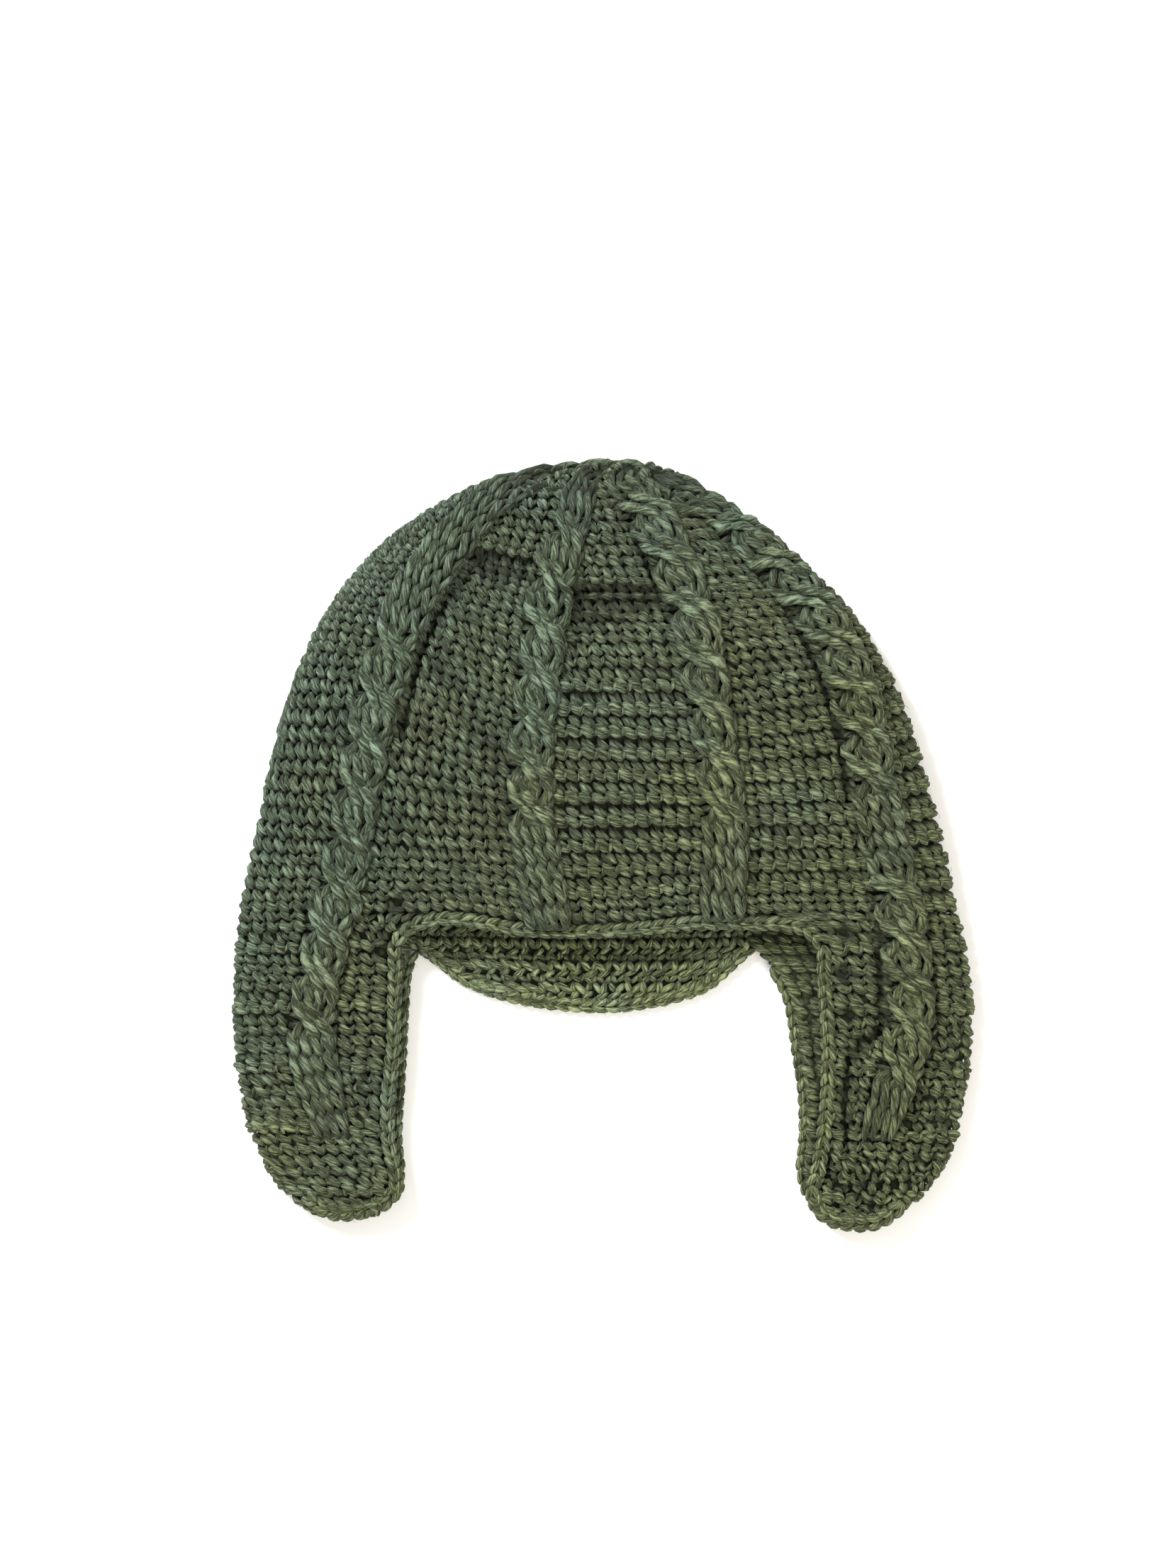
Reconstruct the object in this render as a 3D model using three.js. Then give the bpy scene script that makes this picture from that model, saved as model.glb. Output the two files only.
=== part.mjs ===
// Crocheted earflap cap with raised cables, lying on its back, closed flat.
// Millimetres. The origin is on the floor under the middle of the cap:
// +X to the right as seen from above, +Y to the top of the crown, +Z up.
// The crown is hollow and its mouth opens towards -Y.

import * as THREE from 'three';

// Driving sizes
const wall = 4;              // thickness of the crocheted fabric
const seam = 0.4;            // clearance between pieces that are worked together
const rimY = -26;            // where the crown ends and the flaps begin
const domeY = 138.5;         // where the crown starts to close over its top
const domeSpan = 12;         // length of that closing curve, measured over the surface
const crownTop = { x: 5, y: 146.6, z: 11.5 };
const frontPower = 5;        // how square the soft front face is across
const backPower = 18;        // how square the back face is, pressed by the floor

// Cables
const cableWidth = 18;
const cableTopWidth = 11;    // they draw together at the top of the crown
const cableSeat = 0.55;      // clearance between a cable and the fabric under it
const cableRise = 4.4;       // how far a cable stands off the fabric
const flapCableRise = 3.8;
const cableEdgeRise = 0.9;
const cableFootRise = 0.5;   // its thickness along both sides
const cablePitch = 36;       // length in which a strand crosses over and comes back
const strandSwing = 3.9;     // how far a strand's centre leaves the cable's centre
const strandRadius = 5.4;

// Chain edging
const edgingWidth = 5;
const edgingHeight = 4.2;

// Colours
const yarnGreen = 0x525a45;
const yarnLight = 0x5c6650;

// The closed cap, a row for each height: its two side folds, the height of its front
// face, of the folds themselves and of its back face above the floor.
const sections = [
  { y: -147.0, left: -102.0, right: 106.5, front: 11.6, fold: 7.0, back: 2.6 },
  { y: -142.5, left: -108.5, right: 112.0, front: 12.6, fold: 7.2, back: 2.1 },
  { y: -136.5, left: -116.5, right: 118.5, front: 13.0, fold: 7.2, back: 2.0 },
  { y: -129.0, left: -124.5, right: 126.5, front: 13.0, fold: 7.2, back: 2.0 },
  { y: -120.5, left: -130.0, right: 131.5, front: 13.0, fold: 7.2, back: 2.0 },
  { y: -110.0, left: -134.5, right: 135.5, front: 13.0, fold: 7.2, back: 2.0 },
  { y: -92.0, left: -138.5, right: 139.0, front: 13.0, fold: 7.2, back: 2.0 },
  { y: -70.0, left: -141.0, right: 141.0, front: 13.2, fold: 7.3, back: 2.0 },
  { y: -52.0, left: -140.5, right: 140.2, front: 14.6, fold: 7.6, back: 2.0 },
  { y: -38.0, left: -139.3, right: 137.6, front: 17.0, fold: 8.2, back: 2.0 },
  { y: rimY, left: -138.6, right: 135.2, front: 20.0, fold: 9.0, back: 2.0 },
  { y: 0.0, left: -133.5, right: 129.5, front: 25.0, fold: 9.6, back: 3.0 },
  { y: 30.0, left: -126.6, right: 121.8, front: 30.0, fold: 10.2, back: 3.2 },
  { y: 60.0, left: -118.5, right: 111.5, front: 33.0, fold: 10.8, back: 3.2 },
  { y: 88.0, left: -105.5, right: 95.0, front: 33.5, fold: 11.2, back: 3.2 },
  { y: 112.0, left: -86.5, right: 71.0, front: 31.0, fold: 11.4, back: 3.2 },
  { y: 128.0, left: -65.5, right: 51.0, front: 26.5, fold: 11.5, back: 3.4 },
  { y: domeY, left: -45.5, right: 35.5, front: 20.5, fold: 11.5, back: 4.4 },
];

// Where each cable runs, as a share of the cap's width from its left fold.
const cableRoutes = [
  { y: rimY, c1: 0.137, c2: 0.430, c3: 0.672, c4: 0.925, c5: 0.820, c6: 0.570, c7: 0.320, c8: 0.075 },
  { y: 8.0, c1: 0.142, c2: 0.406, c3: 0.688, c4: 0.917, c5: 0.830, c6: 0.575, c7: 0.325, c8: 0.078 },
  { y: 38.0, c1: 0.145, c2: 0.401, c3: 0.685, c4: 0.924, c5: 0.845, c6: 0.575, c7: 0.325, c8: 0.080 },
  { y: 68.0, c1: 0.150, c2: 0.412, c3: 0.685, c4: 0.926, c5: 0.870, c6: 0.570, c7: 0.330, c8: 0.085 },
  { y: 98.0, c1: 0.155, c2: 0.428, c3: 0.683, c4: 0.930, c5: 0.940, c6: 0.565, c7: 0.340, c8: 0.095 },
  { y: 118.0, c1: 0.170, c2: 0.465, c3: 0.662, c4: 0.922, c5: 1.000, c6: 0.555, c7: 0.350, c8: 0.110 },
  { y: domeY, c1: 0.165, c2: 0.500, c3: 0.620, c4: 0.870, c5: 1.000, c6: 0.540, c7: 0.370, c8: 0.150 },
];

// The cables themselves: the heights between which each one runs.
const cables = [
  { name: 'cable_front_1', route: 'c1', face: 'front', from: -24.0, to: 131.0, steps: 33 },
  { name: 'cable_front_2', route: 'c2', face: 'front', from: -27.0, to: 126.0, steps: 33 },
  { name: 'cable_front_3', route: 'c3', face: 'front', from: -26.0, to: 140.5, steps: 34 },
  { name: 'cable_front_4', route: 'c4', face: 'front', from: -24.0, to: 138.0, steps: 34 },
  { name: 'cable_back_1', route: 'c5', face: 'back', from: -20.0, to: 141.5, steps: 30, seat: 1.8 },
  { name: 'cable_back_2', route: 'c6', face: 'back', from: -20.0, to: 133.0, steps: 18 },
  { name: 'cable_back_3', route: 'c7', face: 'back', from: -20.0, to: 133.0, steps: 18 },
  { name: 'cable_back_4', route: 'c8', face: 'back', from: -20.0, to: 131.0, steps: 18 },
];

// The cables on the flaps, a row for each height, as places across the cap.
const flapCableRoutes = [
  { y: -27.5, leftFront: -104.0, rightFront: 115.0, leftBack: -117.0, rightBack: 101.0 },
  { y: -46.0, leftFront: -104.5, rightFront: 117.5, leftBack: -115.0, rightBack: 104.0 },
  { y: -64.0, leftFront: -110.5, rightFront: 118.5, leftBack: -112.0, rightBack: 106.0 },
  { y: -81.0, leftFront: -110.5, rightFront: 114.5, leftBack: -109.0, rightBack: 106.0 },
  { y: -96.0, leftFront: -107.0, rightFront: 108.5, leftBack: -106.0, rightBack: 104.0 },
  { y: -109.0, leftFront: -101.0, rightFront: 104.0, leftBack: -103.0, rightBack: 102.0 },
];

// The inner edges of the two folded flaps: the centre of the edging on the front half
// and on the back half. The last row is where the flap ends.
const leftFlapEdges = [
  { y: rimY, front: -61.0, back: -71.6 },
  { y: -28.4, front: -70.8, back: -71.6 },
  { y: -32.5, front: -76.4, back: -71.6 },
  { y: -38.0, front: -78.9, back: -71.9 },
  { y: -48.0, front: -79.0, back: -75.4 },
  { y: -60.0, front: -79.3, back: -76.6 },
  { y: -80.0, front: -80.0, back: -77.6 },
  { y: -96.0, front: -81.8, back: -78.6 },
  { y: -112.0, front: -81.8, back: -79.4 },
  { y: -124.0, front: -79.4, back: -78.4 },
  { y: -133.0, front: -79.0, back: -79.4 },
  { y: -139.0, front: -82.0, back: -82.4 },
  { y: -143.4, front: -88.5, back: -88.5 },
];
const rightFlapEdges = [
  { y: rimY, front: 63.0, back: 54.0 },
  { y: -27.8, front: 69.0, back: 54.0 },
  { y: -31.0, front: 77.6, back: 54.0 },
  { y: -38.0, front: 83.5, back: 55.6 },
  { y: -48.0, front: 84.2, back: 65.8 },
  { y: -60.0, front: 84.9, back: 71.8 },
  { y: -80.0, front: 86.0, back: 75.0 },
  { y: -96.0, front: 85.4, back: 77.3 },
  { y: -112.0, front: 84.0, back: 77.6 },
  { y: -124.0, front: 82.0, back: 76.6 },
  { y: -133.0, front: 79.8, back: 78.6 },
  { y: -140.0, front: 82.0, back: 82.0 },
  { y: -146.6, front: 88.5, back: 88.5 },
];
const flapRows = [0, 2, 5, 10, 16, 23, 32, 43, 56, 69, 81, 92, 101, 108, 114];

// The centre line of the edging along the front of the crown.
const frontEdge = [
  { x: -79.0, y: -38.0 },
  { x: -77.0, y: -34.6 },
  { x: -70.5, y: -30.2 },
  { x: -61.0, y: -28.0 },
  { x: -48.0, y: -29.2 },
  { x: -31.5, y: -32.0 },
  { x: -10.0, y: -33.0 },
  { x: 14.0, y: -31.8 },
  { x: 35.0, y: -29.6 },
  { x: 55.0, y: -29.8 },
  { x: 70.0, y: -30.4 },
  { x: 78.5, y: -33.0 },
  { x: 83.4, y: -38.0 },
];

// The lower edge of the neck flap, which lies behind the mouth.
const neckEdge = [
  { x: -74.2, y: -38.5 },
  { x: -64.0, y: -45.0 },
  { x: -50.0, y: -55.0 },
  { x: -28.0, y: -61.5 },
  { x: 0.0, y: -64.0 },
  { x: 22.0, y: -61.5 },
  { x: 39.0, y: -56.0 },
  { x: 48.0, y: -48.5 },
  { x: 56.6, y: -41.0 },
];

// Dents and swellings in the front face, each a round soft hill or hollow.
const swellings = [
  { x: -43, y: 110, radius: 11, rise: -3.2 },   // hollow beside the first cable
  { x: -10, y: 88, radius: 9, rise: -2.4 },     // hollow beside the second cable
  { x: 8, y: 122, radius: 10, rise: -2.6 },     // where the middle cables meet
  { x: 97, y: -96, radius: 20, rise: 2.4 },     // puffed end of the right flap
  { x: 89, y: -77, radius: 9, rise: -2.2 },
  { x: -96, y: -118, radius: 17, rise: 1.4 },
];

// Creases across the panel between the second and third cables.
const creases = [
  { y: 97.7, depth: 2.0 },
  { y: 88.3, depth: 1.6 },
];
const creaseWidth = 3.2;
const creaseSpan = { left: -14, right: 26 };
const panelPuff = 1.5;       // how far a panel swells between two cables

// Smooth values from a table, at any place between its rows
function tableRow(table, key, place) {
  const last = table.length - 2;
  let i = 0;
  while (i < last && place > table[i + 1][key] === table[1][key] > table[0][key]) i += 1;
  const row = {};
  const a = table[i];
  const b = table[i + 1];
  const before = table[Math.max(i - 1, 0)];
  const after = table[Math.min(i + 2, table.length - 1)];
  const span = b[key] - a[key];
  const t = THREE.MathUtils.clamp((place - a[key]) / span, 0, 1);
  for (const column of Object.keys(a)) {
    const slopeA = (b[column] - before[column]) / (b[key] - before[key]) * span;
    const slopeB = (after[column] - a[column]) / (after[key] - a[key]) * span;
    const t2 = t * t;
    const t3 = t2 * t;
    row[column] = (2 * t3 - 3 * t2 + 1) * a[column] + (t3 - 2 * t2 + t) * slopeA
      + (3 * t2 - 2 * t3) * b[column] + (t3 - t2) * slopeB;
  }
  return row;
}

// Soft relief of the front face
function frontRelief(x, y, share) {
  let rise = 0;
  for (const hill of swellings) {
    const reach = ((x - hill.x) ** 2 + (y - hill.y) ** 2) / hill.radius ** 2;
    rise += hill.rise * Math.exp(-reach);
  }
  const edge = 6;
  const inside = THREE.MathUtils.smoothstep(x, creaseSpan.left - edge, creaseSpan.left + edge)
    * (1 - THREE.MathUtils.smoothstep(x, creaseSpan.right - edge, creaseSpan.right + edge));
  for (const crease of creases) {
    rise -= crease.depth * inside * Math.exp(-(((y - crease.y) / creaseWidth) ** 2));
  }
  if (y > rimY) {
    const route = tableRow(cableRoutes, 'y', y);
    const bounds = [0, route.c1, route.c2, route.c3, route.c4, 1];
    const i = Math.max(bounds.findIndex((bound) => bound > share) - 1, 0);
    const across = (share - bounds[i]) / (bounds[i + 1] - bounds[i]);
    const low = THREE.MathUtils.smoothstep(y, rimY, rimY + 25);
    const high = 1 - THREE.MathUtils.smoothstep(y, 110, domeY);
    rise += panelPuff * low * high * (Math.sin(Math.PI * THREE.MathUtils.clamp(across, 0, 1)) - 0.4);
  }
  return rise * Math.min(1, 12 * Math.min(share, 1 - share));
}

// A point of the closed cap. The share runs from the left fold, 0, to the right fold, 1,
// the climb is its height y and goes on over the top, and inset moves it into the wall.
function capPoint(face, share, climb, inset = 0) {
  const y = Math.min(climb, domeY);
  const row = tableRow(sections, 'y', y);
  const over = THREE.MathUtils.clamp((climb - domeY) / domeSpan, 0, 1) * Math.PI / 2;
  const shrink = Math.cos(over);
  const rise = Math.sin(over);
  const half = (row.right - row.left) / 2 - inset;
  const middle = THREE.MathUtils.lerp((row.right + row.left) / 2, crownTop.x, rise);
  const x = middle + (2 * share - 1) * half * shrink;
  const power = face === 'front' ? frontPower : backPower;
  const swell = Math.sqrt(Math.max(1 - Math.abs(2 * share - 1) ** power, 0));
  const fold = THREE.MathUtils.lerp(row.fold, crownTop.z, rise);
  let z = fold;
  if (face === 'front') {
    z += (row.front - row.fold - inset + frontRelief(x, y, share)) * swell * shrink;
  } else {
    z -= (row.fold - row.back - inset) * swell * shrink;
  }
  return new THREE.Vector3(x, y + (crownTop.y - domeY - inset) * rise, z);
}

// The share of the width at which the cap is x across, at a height
function shareAt(x, y, inset = 0) {
  const row = tableRow(sections, 'y', y);
  return (x - row.left - inset) / (row.right - row.left - 2 * inset);
}

// The place round the crown, 0 at the left fold, 1 at the right one, 2 at the left again
function roundShare(turn) {
  return (1 - Math.cos(Math.PI * turn)) / 2;
}
function turnAt(face, share) {
  const turn = Math.acos(THREE.MathUtils.clamp(1 - 2 * share, -1, 1)) / Math.PI;
  return face === 'front' ? turn : 2 - turn;
}

// The fabric's front edge lies above its edging, and the rest of the rim is level.
function rimDrop(face, share, climb) {
  if (face !== 'front' || climb > rimY + 30) return 0;
  const x = capPoint(face, share, rimY).x;
  const edge = tableRow(frontEdge, 'x', x).y + edgingWidth / 2 + seam;
  const inside = THREE.MathUtils.smoothstep(x, -66, -58) * (1 - THREE.MathUtils.smoothstep(x, 57, 65));
  return (edge - rimY) * inside * (1 - (climb - rimY) / 30) ** 2;
}

function crownPoint(turn, climb, inset = 0) {
  const face = turn <= 1 ? 'front' : 'back';
  const share = roundShare(turn);
  const point = capPoint(face, share, climb, inset);
  point.y += rimDrop(face, share, climb);
  return point;
}

// A closed mesh from rings of points, joined in order
function ringMesh(name, color, rings, caps) {
  const count = rings[0].length;
  const positions = rings.flat().flatMap((p) => [p.x, p.y, p.z]);
  const faces = [];
  for (let j = 0; j + 1 < rings.length; j += 1) {
    for (let i = 0; i < count; i += 1) {
      const a = j * count + i;
      const b = j * count + (i + 1) % count;
      faces.push(a, b, b + count, a, b + count, a + count);
    }
  }
  const lastRing = (rings.length - 1) * count;
  for (const [a, b, c] of caps) {
    faces.push(a, c, b);
    faces.push(lastRing + a, lastRing + b, lastRing + c);
  }
  return solid(name, color, positions, faces);
}

// Turns the faces outwards and makes the named mesh
function solid(name, color, positions, faces) {
  const corner = (i) => new THREE.Vector3().fromArray(positions, 3 * i);
  let volume = 0;
  for (let i = 0; i < faces.length; i += 3) {
    volume += corner(faces[i]).dot(corner(faces[i + 1]).cross(corner(faces[i + 2])));
  }
  const outward = volume > 0 ? faces : faces.slice().reverse();
  const geometry = new THREE.BufferGeometry();
  geometry.setAttribute('position', new THREE.Float32BufferAttribute(positions, 3));
  geometry.setIndex(outward);
  geometry.computeVertexNormals();
  const yarn = new THREE.MeshStandardMaterial({ color, roughness: 0.92, metalness: 0 });
  const mesh = new THREE.Mesh(geometry, yarn);
  mesh.name = name;
  return mesh;
}

function fanCap(count) {
  return Array.from({ length: count - 2 }, (_, i) => [0, i + 1, i + 2]);
}
// For a section made of an outer line and an inner line back along it
function stripCap(count) {
  const caps = [];
  for (let i = 0; i + 1 < count / 2; i += 1) {
    caps.push([i, i + 1, count - 2 - i], [i, count - 2 - i, count - 1 - i]);
  }
  return caps;
}

// Crown: outer and inner skins that meet at the rim
const frontStations = 32;
const backStations = 12;
const crownTurns = [];
for (let i = 0; i < frontStations; i += 1) {
  const even = Math.acos(1 - 2 * i / frontStations) / Math.PI;
  crownTurns.push(THREE.MathUtils.lerp(i / frontStations, even, 0.3));
}
for (let i = 0; i < backStations; i += 1) {
  const even = Math.acos(1 - 2 * i / backStations) / Math.PI;
  crownTurns.push(1 + THREE.MathUtils.lerp(i / backStations, even, 0.3));
}
const domeClimbs = [0.3, 0.58, 0.82].map((part) => domeY + part * domeSpan);
const outerClimbs = [rimY, -15, -4, 8, 20, 32, 43, 54, 64, 73, 80.5, 84.5, 88.3, 93, 97.7, 102, 107,
  115, 123, 131, domeY, ...domeClimbs];
const innerClimbs = [rimY, -8, 12, 32, 52, 69, 81, 88.3, 93, 97.7, 105, 115, 125, 133, domeY,
  ...domeClimbs.slice(1)];

function crownSkin(climbs, inset) {
  return climbs.map((climb) => crownTurns.map((turn) => crownPoint(turn, climb, inset)));
}

const outerSkin = crownSkin(outerClimbs, 0);

function buildCrown() {
  const count = crownTurns.length;
  const innerSkin = crownSkin(innerClimbs, wall);
  const top = crownPoint(0.5, domeY + domeSpan);
  const innerTop = crownPoint(0.5, domeY + domeSpan, wall);
  const points = [top, ...outerSkin.slice().reverse().flat(), ...innerSkin.flat(), innerTop];
  const faces = [];
  const rings = outerSkin.length + innerSkin.length;
  for (let i = 0; i < count; i += 1) {
    const next = (i + 1) % count;
    faces.push(0, 1 + i, 1 + next);
    for (let j = 0; j + 1 < rings; j += 1) {
      const a = 1 + j * count + i;
      const b = 1 + j * count + next;
      faces.push(a, a + count, b + count, a, b + count, b);
    }
    const last = 1 + (rings - 1) * count;
    faces.push(last + i, points.length - 1, last + next);
  }
  return solid('crown', yarnGreen, points.flatMap((p) => [p.x, p.y, p.z]), faces);
}

// The crown's own facets, so that a cable lies on them everywhere
function onCrown(turn, climb) {
  const whole = ((turn % 2) + 2) % 2;
  const count = crownTurns.length;
  let i = 0;
  while (i + 1 < count && crownTurns[i + 1] <= whole) i += 1;
  const endTurn = i + 1 < count ? crownTurns[i + 1] : 2;
  let j = 0;
  while (j + 2 < outerClimbs.length && outerClimbs[j + 1] <= climb) j += 1;
  const u = (whole - crownTurns[i]) / (endTurn - crownTurns[i]);
  const v = THREE.MathUtils.clamp((climb - outerClimbs[j]) / (outerClimbs[j + 1] - outerClimbs[j]), 0, 1);
  const a = outerSkin[j][i];
  const b = outerSkin[j][(i + 1) % count];
  const c = outerSkin[j + 1][(i + 1) % count];
  const d = outerSkin[j + 1][i];
  const point = a.clone();
  if (v > u) return point.addScaledVector(d.clone().sub(a), v).addScaledVector(c.clone().sub(d), u);
  return point.addScaledVector(b.clone().sub(a), u).addScaledVector(c.clone().sub(b), v);
}

function surfaceNormal(surface, a, b, stepA, stepB) {
  const across = surface(a + stepA, b).sub(surface(a - stepA, b));
  const along = surface(a, b + stepB).sub(surface(a, b - stepB));
  return across.cross(along).normalize();
}

// Height of a cable above the fabric: two strands that cross, the upper one always
// running down to the right
function cableHeight(across, climb, half, rise) {
  const part = across / half;
  const turn = climb / cablePitch * Math.PI * 2;
  const over = Math.cos(turn);
  let height = cableEdgeRise;
  for (const side of [-1, 1]) {
    const centre = side * over * strandSwing / (cableWidth / 2);
    const lift = 1 + 0.12 * side * Math.sin(turn) * Math.sign(over);
    const reach = (part - centre) * (cableWidth / 2) / strandRadius;
    height = Math.max(height, rise * lift * Math.sqrt(Math.max(1 - reach * reach, 0)));
  }
  return height;
}

const topStations = [-1, -0.66, -0.22, 0.22, 0.66, 1];
const footStations = [0.5, 0, -0.5];

// One section of a cable: its top from edge to edge, then back underneath. lie says what
// it lies on: the surface, its facets, a small step on it, its outer side and the clearance.
function cableSection(lie, place, climb, half, rise) {
  const { surface, facets, step, sign, seat } = lie;
  const speed = surface(place + step, climb).distanceTo(surface(place - step, climb)) / (2 * step);
  const at = (station, lift) => {
    const a = place + sign * station * half / speed;
    const normal = surfaceNormal(surface, a, climb, step, 0.5).multiplyScalar(sign);
    return facets(a, climb).addScaledVector(normal, seat + lift);
  };
  const top = topStations.map((part) => {
    const height = cableHeight(part * half, climb, half, rise);
    return at(part, Math.abs(part) === 1 ? cableFootRise : height);
  });
  return [...top, ...footStations.map((part) => at(part, 0))];
}

// On the floor a cable is pressed flat.
function pressed(section) {
  return section.map((point) => point.setZ(Math.max(point.z, 0)));
}

function buildCable(spec) {
  const sectionsOfCable = [];
  for (let j = 0; j <= spec.steps; j += 1) {
    const climb = THREE.MathUtils.lerp(spec.from, spec.to, j / spec.steps);
    const share = tableRow(cableRoutes, 'y', Math.min(climb, domeY))[spec.route];
    const turn = turnAt(spec.face, share);
    const narrow = THREE.MathUtils.smoothstep(climb, 80, domeY);
    const ends = Math.min(1, 0.35 + (j + 0.2) / 3, 0.35 + (spec.steps - j + 0.2) / 3);
    const half = THREE.MathUtils.lerp(cableWidth, cableTopWidth, narrow) / 2 * (0.6 + 0.4 * ends);
    const rise = THREE.MathUtils.lerp(cableRise, cableRise * 0.75, narrow) * ends;
    const seat = spec.seat ?? cableSeat;
    const lie = { surface: crownPoint, facets: onCrown, step: 0.004, sign: 1, seat };
    sectionsOfCable.push(pressed(cableSection(lie, turn, climb, half, rise)));
  }
  return ringMesh(spec.name, yarnLight, sectionsOfCable, fanCap(sectionsOfCable[0].length));
}

// A flap is the fabric below the rim, folded at the side of the cap: its front half
// runs from the inner edge to the fold and its back half returns under it.
function flapSection(edges, side, y, armStations) {
  const edge = tableRow(edges, 'y', y);
  const insetEdge = edgingWidth / 2 + seam;
  const line = (inset) => {
    const ends = {
      front: shareAt(edge.front + side * insetEdge, y, inset),
      back: shareAt(edge.back + side * insetEdge, y, inset),
    };
    const foldShare = side < 0 ? 0 : 1;
    const points = [];
    for (let i = -armStations; i <= armStations; i += 1) {
      const face = i <= 0 ? 'front' : 'back';
      const part = 1 - Math.cos(Math.PI / 2 * Math.abs(i) / armStations);
      const share = THREE.MathUtils.lerp(foldShare, ends[face], part);
      points.push(capPoint(face, share, y, inset));
    }
    return points;
  };
  return [...line(0), ...line(wall).reverse()];
}

function buildFlap(name, edges, side) {
  const bottom = edges[edges.length - 1].y;
  const top = rimY - seam;
  const length = flapRows[flapRows.length - 1];
  const rings = flapRows.map((down) => flapSection(edges, side, top + (bottom - top) * down / length, 7));
  return ringMesh(name, yarnGreen, rings, stripCap(rings[0].length));
}

// A cable on a flap, on the flap's outer face
function buildFlapCable(name, column, face, steps) {
  const rings = [];
  const first = flapCableRoutes[0].y;
  const last = flapCableRoutes[flapCableRoutes.length - 1].y;
  const surface = (x, y) => capPoint(face, shareAt(x, y), y);
  for (let j = 0; j <= steps; j += 1) {
    const y = THREE.MathUtils.lerp(first, last, j / steps);
    const x = tableRow(flapCableRoutes, 'y', y)[column];
    const ends = Math.min(1, 0.35 + (j + 0.2) / 3, 0.35 + (steps - j + 0.2) / 3);
    const half = cableWidth / 2 * (0.6 + 0.4 * ends);
    const lie = { surface, facets: surface, step: 0.4, sign: face === 'front' ? 1 : -1, seat: cableSeat };
    rings.push(pressed(cableSection(lie, x, y, half, flapCableRise * ends)));
  }
  return ringMesh(name, yarnLight, rings, fanCap(rings[0].length));
}

// The neck flap lies on the floor, its inner side up.
function buildNeckFlap() {
  const steps = 16;
  const rings = [];
  const bevel = 1.3;
  const rest = { y: -35, lift: 1.6 };
  for (let i = 0; i <= steps; i += 1) {
    const x = THREE.MathUtils.lerp(neckEdge[0].x, neckEdge[neckEdge.length - 1].x, i / steps);
    const bottom = tableRow(neckEdge, 'x', x).y;
    const top = rimY - seam;
    const profile = [
      [top, rest.lift], [rest.y, 0], [bottom + bevel, 0], [bottom, bevel],
      [bottom, wall - bevel], [bottom + bevel, wall], [rest.y, wall], [top, wall + rest.lift],
    ];
    rings.push(profile.map(([y, z]) => new THREE.Vector3(x, y, z)));
  }
  return ringMesh('neck_flap', yarnGreen, rings, stripCap(rings[0].length));
}

// Edging: a rounded bar along an edge, level with the fabric it borders
function buildEdging(name, path, steps) {
  const curve = new THREE.CatmullRomCurve3(path, false, 'centripetal');
  const sides = 6;
  const rings = [];
  for (let j = 0; j <= steps; j += 1) {
    const centre = curve.getPointAt(j / steps);
    const along = curve.getTangentAt(j / steps);
    const across = along.clone().cross(new THREE.Vector3(0, 0, 1)).normalize();
    const up = across.clone().cross(along);
    const ring = [];
    for (let i = 0; i < sides; i += 1) {
      const angle = Math.PI * 2 * (i + 0.5) / sides;
      const point = centre.clone().addScaledVector(across, Math.cos(angle) * edgingWidth / 2);
      ring.push(point.addScaledVector(up, Math.sin(angle) * edgingHeight / 2));
    }
    rings.push(ring);
  }
  return ringMesh(name, yarnLight, rings, fanCap(sides));
}

function edgeHeight(face, x, y) {
  return capPoint(face, shareAt(x, y), y, wall / 2).z;
}

function frontEdgingPath() {
  return frontEdge.map(({ x, y }) => new THREE.Vector3(x, y, edgeHeight('front', x, y)));
}

function flapEdgingPath(edges, face, from, to) {
  const path = [];
  const count = 9;
  for (let i = 0; i <= count; i += 1) {
    const y = THREE.MathUtils.lerp(from, to, i / count);
    const x = tableRow(edges, 'y', y)[face];
    path.push(new THREE.Vector3(x, y, edgeHeight(face, x, y)));
  }
  return path;
}

const cap = new THREE.Group();
cap.add(buildCrown());
for (const spec of cables) cap.add(buildCable(spec));
cap.add(buildFlap('earflap_left', leftFlapEdges, -1));
cap.add(buildFlap('earflap_right', rightFlapEdges, 1));
cap.add(buildFlapCable('flap_cable_left_front', 'leftFront', 'front', 17));
cap.add(buildFlapCable('flap_cable_right_front', 'rightFront', 'front', 17));
cap.add(buildFlapCable('flap_cable_left_back', 'leftBack', 'back', 12));
cap.add(buildFlapCable('flap_cable_right_back', 'rightBack', 'back', 12));
cap.add(buildNeckFlap());
cap.add(buildEdging('edging_front', frontEdgingPath(), 36));
cap.add(buildEdging('edging_left_front', flapEdgingPath(leftFlapEdges, 'front', -40, -131), 15));
cap.add(buildEdging('edging_right_front', flapEdgingPath(rightFlapEdges, 'front', -40, -133), 15));
cap.add(buildEdging('edging_left_back', flapEdgingPath(leftFlapEdges, 'back', -43, -131), 13));
cap.add(buildEdging('edging_right_back', flapEdgingPath(rightFlapEdges, 'back', -52, -133), 13));

export default cap;
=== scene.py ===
import math

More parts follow.
